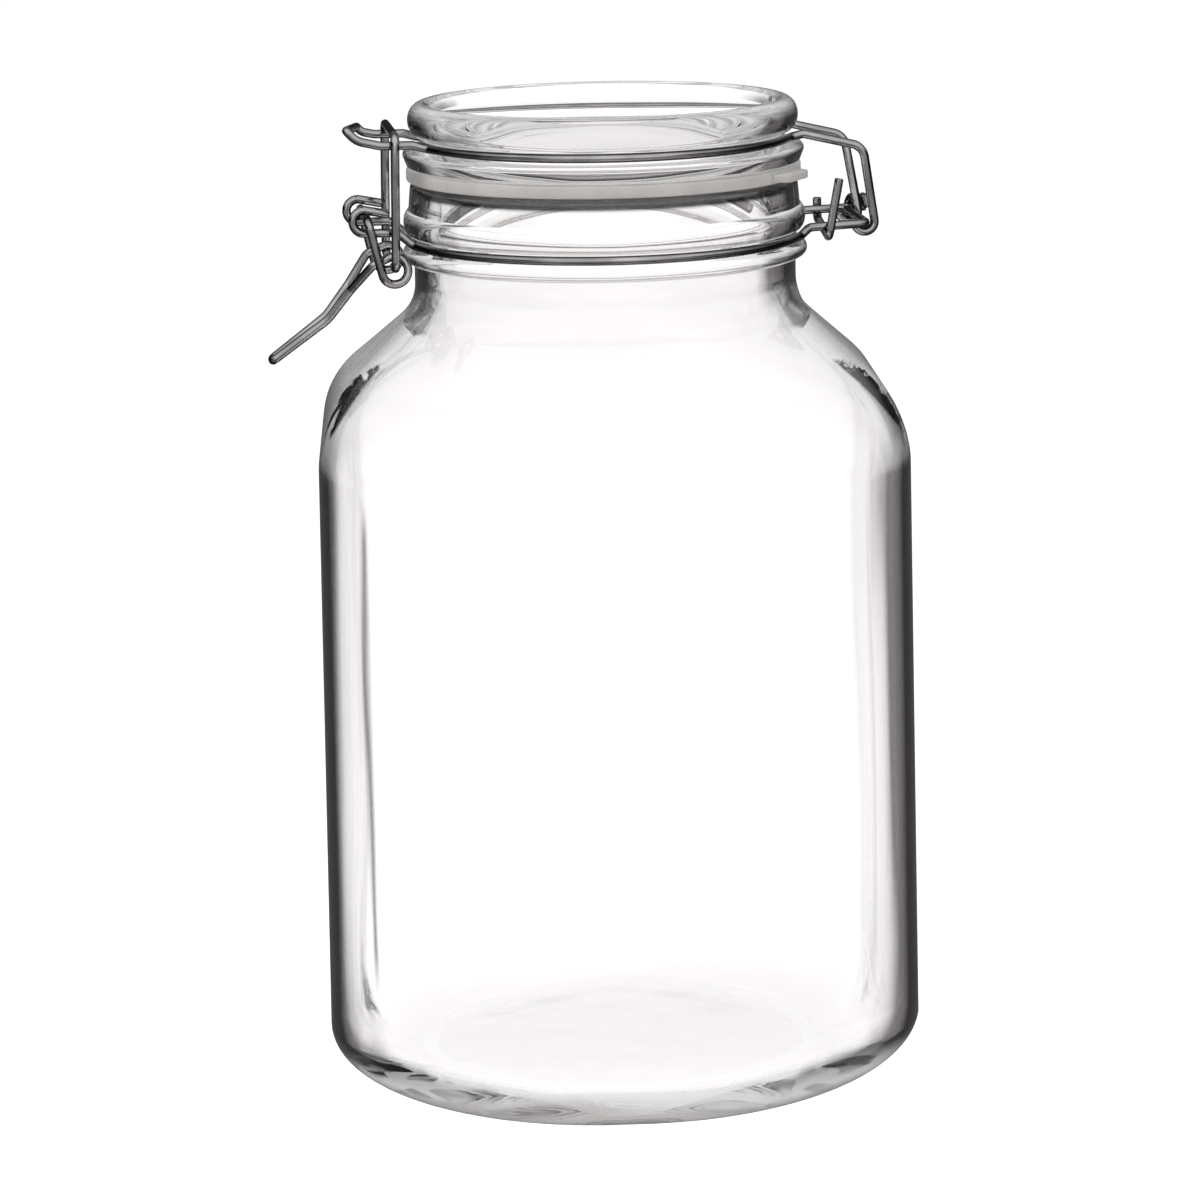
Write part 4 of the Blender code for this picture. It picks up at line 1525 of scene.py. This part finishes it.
@dataclass(frozen=True)
class LidWire:
    """The wire in the lid's groove, with the catch hook and the two hinge arms."""

    harness: Harness
    hook_half_spacing: float = 0.0140
    hook_ramp: float = 0.0040
    near_hook: HookArm = HookArm(0.0183, 0.0085, 0.0040)
    far_hook: HookArm = HookArm(0.0139, 0.0045, 0.0020)
    curl_run_share: float = 0.28
    curl_rise_share: float = 0.35
    hook_bend_radius: float = 0.0060
    arm_half_spacing: float = 0.0135
    arm_lift: float = 0.0008
    arm_ramp: float = 0.0034
    arm_corner_inset: float = 0.0003
    arm_corner_drop: float = 0.0028
    arm_corner_radius: float = 0.0040
    far_arm_lean: float = 0.0040
    eye_wrap: float = radians(175)

    def _hook_side(self, arm: HookArm) -> Points:
        """One arm of the hook, from the middle of its crossbar to its root, at +Y.

        Args:
            arm: The arm's sizes.

        Returns:
            The points in order.
        """
        wire = self.harness.wire
        radius = self.harness.lid.wire_radius
        z = self.harness.hook_z
        y = self.hook_half_spacing
        root = wire.runout(radius, y, -1)[1]
        bar_x = -(radius + (self.near_hook.length + self.far_hook.length) / 2)
        bar = at(bar_x, z + (self.near_hook.rise + self.far_hook.rise) / 2)
        tip = at(-(radius + arm.length), z + arm.rise, y)
        curl = at(self.curl_run_share * arm.toe, (self.curl_rise_share - 1) * arm.rise)
        run = [tip, tip + curl, at(tip.x + arm.toe, z, y), at(root.x - self.hook_ramp, z, y)]
        side = rounded(run, self.hook_bend_radius, wire.bend_step)
        return wire.bent([bar, tip, side[1]]) + side[2:]

    def _half(self, hook: Points, lean: float) -> Points:
        """One side of the wire, from the hook's middle to the eye on the hinge bar, at +Y.

        Args:
            hook: The points of this side's hook arm.
            lean: How far the eye lies inward of the arm.

        Returns:
            The points in order.
        """
        harness = self.harness
        wire = harness.wire
        radius = harness.lid.wire_radius
        z = harness.lid.wire_z
        y = self.arm_half_spacing
        axis = harness.hinge_axis
        hook_angle, hook_root = wire.runout(radius, self.hook_half_spacing, -1)
        arm_angle, arm_root = wire.runout(radius, y, 1)
        ring = wire.level_arc(radius, z, pi - hook_angle, arm_angle)
        root = at(hook_root.x, z, self.hook_half_spacing)
        hook = hook[:-1] + wire.bent([hook[-2], hook[-1], root, ring[0]])[1:]
        corner = at(axis.x - self.arm_corner_inset, z - self.arm_corner_drop, y)
        meet = wire.touch_angle(corner, axis, wire.pitch, -1)
        turn = (meet, meet - self.eye_wrap)
        eye = wire.upright_arc(axis, wire.pitch, *turn, y - lean, y - lean)
        run = at(arm_root.x + self.arm_ramp, z + self.arm_lift, y)
        arm = wire.bent([ring[-1], at(arm_root.x, z, y), run, (run + corner) / 2])[:-1]
        arm += rounded([arm[-1], corner, eye[0]], self.arm_corner_radius, wire.bend_step)[1:-1]
        return hook[:-1] + ring[:-1] + arm + eye

    def build(self, steel: Material) -> Piece:
        """Draw the lid wire.

        Args:
            steel: Its finish.

        Returns:
            The wire's object.
        """
        near = mirrored(self._half(self._hook_side(self.near_hook), 0))
        far = self._half(self._hook_side(self.far_hook), self.far_arm_lean)
        path = near[:0:-1] + far[1:]
        return self.harness.wire.piece(path, "lid_wire_hook", steel, Body.LID, "lid_wire")


@dataclass(frozen=True)
class ClaspLever:
    """The wire lever: a handle of two wires, two eyes and two pivot pins."""

    harness: Harness
    pivot_pin: float = 0.0055
    eye_shift: float = 0.0030
    knee_reach: float = 0.0053
    knee_rise: float = 0.0013
    half_top: float = 0.0052
    half_bend: float = 0.0036
    half_tip: float = 0.0020
    handle_squeeze: float = 0.0085
    upper_handle: float = 0.0180
    upper_slope: float = radians(52)
    lower_handle: float = 0.01718
    lower_slope: float = radians(36)
    handle_bend_radius: float = 0.0080
    handle_end_radius: float = 0.0020

    def _half(self) -> Points:
        """One side of the lever, from its pin's end to the middle of the handle's end.

        Returns:
            The points in order.
        """
        harness = self.harness
        wire = harness.wire
        centre = harness.eye_centre
        radius = harness.eye_radius
        outer_y = harness.lever_half_width
        ring_y = outer_y - self.eye_shift
        knee = centre + at(-self.knee_reach, self.knee_rise, ring_y)
        arrive = wire.touch_angle(harness.lever_axis, centre, radius, 1)
        leave = wire.touch_angle(knee, centre, radius, -1) + 2 * pi
        eye = wire.upright_arc(centre, radius, arrive, leave, outer_y, ring_y)
        pin = [harness.lever_axis + at(0, 0, y) for y in (outer_y - self.pivot_pin, outer_y)]
        upper = at(-cos(self.upper_slope), -sin(self.upper_slope))
        lower = at(-cos(self.lower_slope), -sin(self.lower_slope))
        squeezed = knee + upper * self.handle_squeeze
        squeezed.y = self.half_top
        bend = knee + upper * self.upper_handle
        bend.y = self.half_bend
        tip = bend + lower * self.lower_handle
        tip.y = self.half_tip
        first = wire.bent([eye[-1], knee, squeezed, (bend + squeezed) / 2])
        upper_run = [first[-1], bend, (bend + tip) / 2]
        second = rounded(upper_run, self.handle_bend_radius, wire.bend_step)
        end_run = [second[-1], tip, at(tip.x, tip.z)]
        third = rounded(end_run, self.handle_end_radius, wire.bend_step)
        start = wire.bent(pin + [eye[0]])[:-1] + eye[:-1]
        return start + first[:-1] + second[1:-1] + third[1:]

    def build(self, steel: Material) -> Piece:
        """Draw the lever."""
        path = both_sides(self._half())
        return self.harness.wire.piece(path, "clasp_lever_wire", steel, Body.LEVER, "clasp_lever")


@dataclass(frozen=True)
class BailLink:
    """The wire link from the lever's eyes up and over the lid wire's hook."""

    harness: Harness
    reach: float = 0.0066
    pin: float = 0.0068

    def build(self, steel: Material) -> Piece:
        """Draw the link.

        Args:
            steel: Its finish.

        Returns:
            The link's object.
        """
        harness = self.harness
        wire = harness.wire
        top = at(-(harness.lid.wire_radius + self.reach), harness.hook_z + wire.pitch)
        wide = harness.bail_half_width
        pin = [harness.bail_axis + at(0, 0, y) for y in (wide - self.pin, wide)]
        path = both_sides(wire.bent(pin + [top + at(0, 0, wide), top]))
        return wire.piece(path, "bail_link_wire", steel, Body.BAIL, "bail_link")


@dataclass(frozen=True)
class Lamp:
    """A soft square lamp that looks at the jar."""

    name: str
    place: Triple
    size: float
    energy: float
    target_z: float = 0.12

    def build(self) -> None:
        """Hang the lamp; it lights things but is never seen."""
        data = bpy.data.lights.new(self.name, "AREA")
        data.size = self.size
        data.energy = self.energy
        lamp = placed_object(self.name, data)
        lamp.location = self.place
        towards = at(0, self.target_z) - lamp.location
        lamp.rotation_euler = towards.to_track_quat("-Z", "Y").to_euler()
        lamp.visible_camera = False
        lamp.visible_glossy = False
        lamp.visible_transmission = False


@dataclass(frozen=True)
class Studio:
    """A pale floor, a white surround with darker bands for reflections, and two soft lamps."""

    floor_half: float = 6.0
    floor_colour: Triple = (0.86, 0.86, 0.86)
    floor_glow: float = 0.52
    bounced_inside: float = 0.72
    bounced_front: float = 0.32
    bounced_back: float = 0.10
    back_near: float = -0.70
    back_far: float = -0.25
    back_turn_near: float = 0.1
    back_turn_far: float = 0.6
    panel_dark: float = 0.03
    panel_start: float = 0.6
    panel_end: float = 0.95
    ceiling_start: float = 0.15
    ceiling_end: float = 0.5
    high_start: float = 0.12
    high_end: float = 0.7
    high_level: float = 0.5
    plain_level: float = 0.55
    light_bounces: int = 60
    lamps: tuple[Lamp, ...] = (
        Lamp("key_lamp", (-0.7, -0.5, 1.3), 0.9, 9),
        Lamp("fill_lamp", (0.9, -0.8, 0.9), 1.2, 4),
    )

    def _bounced_level(self, nodes: Nodes, y: Socket, front: float, back: float) -> Socket:
        """1 for what is seen straight or through glass, and less behind the jar in a reflection.

        Args:
            nodes: The tree's nodes.
            y: How far along Y the seen place lies.
            front: The Y up to which the front's level holds.
            back: The Y from which the back's level holds.

        Returns:
            The level's socket.
        """
        path = nodes.add("LightPath").outputs
        outside = nodes.mapped(y, front, back, self.bounced_front, self.bounced_back)
        level = nodes.mapped(path["Transmission Depth"], 0, 1, outside, self.bounced_inside)
        return nodes.mapped(path["Glossy Depth"], 0, 1, 1, level)

    def _floor(self) -> None:
        """The floor: pale, with the object's shadow on it; it glows for rays that see it."""
        plain = {"Roughness": 1, "Specular IOR Level": 0, "Emission Color": (1, 1, 1, 1)}
        made, nodes, shader = new_finish("studio_floor", plain)
        y = nodes.split(nodes.place())["Y"]
        bounced = self._bounced_level(nodes, y, self.back_near, self.back_far)
        path = nodes.add("LightPath").outputs
        gloss = nodes.math("MAXIMUM", path["Is Camera Ray"], path["Is Glossy Ray"])
        seen = nodes.math("MAXIMUM", gloss, path["Is Transmission Ray"])
        glow = nodes.math("MULTIPLY", nodes.math("MULTIPLY", seen, self.floor_glow), bounced)
        sources = {0: self.floor_colour, 1: bounced}
        shade = nodes.add("VectorMath", sources, operation="MULTIPLY").outputs[0]
        nodes.fill(shader, {"Emission Strength": glow, "Base Color": shade})
        shell = bmesh.new()
        bmesh.ops.create_grid(shell, x_segments=1, y_segments=1, size=self.floor_half)
        mesh = kept_mesh("studio_floor", shell)
        mesh.materials.append(made)
        plane = placed_object("studio_floor", mesh)

    def _panels(self, nodes: Nodes, direction: bpy.types.NodeOutputs) -> Socket:
        """What gloss sees: a dark horizon with one bright panel in front, under a bright ceiling.

        Args:
            nodes: The world's nodes.
            direction: The direction's x, y and z sockets.

        Returns:
            The brightness's socket.
        """
        turned = nodes.math("ADD", nodes.math("ARCTAN2", direction["Y"], direction["X"]), pi)
        wave = nodes.math("SINE", turned)
        panels = nodes.mapped(wave, self.panel_start, self.panel_end, self.panel_dark, 1)
        ceiling = nodes.mapped(direction["Z"], self.ceiling_start, self.ceiling_end, 0, 1)
        return nodes.math("MAXIMUM", panels, ceiling)

    def _world(self) -> None:
        """The surround: white to the camera, banded to gloss, white below the ceiling to glass."""
        made = bpy.data.worlds.new("studio_surround")
        bpy.context.scene.world = made
        made.use_nodes = True
        nodes = Nodes(made.node_tree)
        path = nodes.add("LightPath").outputs
        split = nodes.split(nodes.add("TexCoord").outputs["Generated"])
        height = nodes.mapped(split["Z"], self.high_start, self.high_end, 1, self.high_level)
        bounced = self._bounced_level(nodes, split["Y"], self.back_turn_near, self.back_turn_far)
        level = self.plain_level
        for test, seen in (
            ("Is Glossy Ray", self._panels(nodes, split)),
            ("Is Transmission Ray", nodes.math("MULTIPLY", height, bounced)),
            ("Is Camera Ray", 1),
        ):
            level = nodes.add("Mix", {0: path[test], 2: level, 3: seen}).outputs[0]
        nodes.fill(nodes.tree.nodes["Background"], {"Color": level})

    def build(self) -> None:
        """Set up the floor, the surround and the lamps."""
        paths = bpy.context.scene.cycles
        paths.max_bounces = self.light_bounces
        paths.glossy_bounces = self.light_bounces
        paths.transmission_bounces = self.light_bounces
        self._floor()
        self._world()
        for lamp in self.lamps:
            lamp.build()


@dataclass(frozen=True)
class PhotoCamera:
    """The camera at the photograph's place."""

    distance: float = 1.1
    height: float = 0.358985
    side: float = -0.003445
    pitch: float = 0.212
    roll: float = -0.0193
    yaw: float = -0.04
    focal_share: float = 4410.857 / 1200
    middle_x_share: float = 597.814 / 1200
    middle_y_share: float = 597.416 / 1200
    sensor: float = 36

    def build(self) -> None:
        """Place the camera and make it the scene's."""
        data = bpy.data.cameras.new("photo_camera")
        data.sensor_width = self.sensor
        data.lens = self.focal_share * self.sensor
        data.shift_x = 0.5 - self.middle_x_share
        data.shift_y = self.middle_y_share - 0.5
        camera = placed_object("photo_camera", data)
        stand = Matrix.Translation((self.side, -self.distance, self.height))
        tilt = Matrix.Rotation(pi / 2 - self.pitch, 4, "X") @ Matrix.Rotation(self.roll, 4, "Z")
        camera.matrix_world = Matrix.Rotation(self.yaw, 4, "Z") @ stand @ tilt
        bpy.context.scene.camera = camera


def report(piece: Piece) -> None:
    """Log a piece's name and how many faces it has."""
    LOG.info("%s: %d faces", piece.name, len(piece.data.polygons))


def main() -> None:
    """Build the jar, the studio and the camera."""
    logging.basicConfig(level=logging.INFO, format="%(name)s: %(message)s")
    bpy.context.scene.view_settings.view_transform = "Standard"
    lid_glass = ClearGlass(name="lid_glass").material()
    rubber = PaleRubber().material()
    steel = DrawnWire().material()
    body = GlassBody()
    # The body's glass also gets the painted grey heel, the painted dark line in the side bands and
    # the painted dark band below the rim.
    body_glass = ClearGlass(
        name="body_glass",
        heel_z=0.012,
        line_depth=0.95,
        flat_reach=body.half_top - body.corner_radius,
        rim_z=body.rim_z,
        rim_shade=0.992,
    ).material()
    lid = GlassLid(body)
    harness = Harness(body, lid, Wire())
    neck_wires = NeckWires(harness)
    report(body.build(body_glass))
    report(lid.build(lid_glass))
    report(Gasket(lid).build(rubber))
    report(neck_wires.build(Side.NEAR, steel))
    report(neck_wires.build(Side.FAR, steel))
    report(TieWire(neck_wires).build(steel))
    report(LidWire(harness).build(steel))
    report(ClaspLever(harness).build(steel))
    report(BailLink(harness).build(steel))
    Studio().build()
    PhotoCamera().build()


if __name__ == "__main__":
    main()
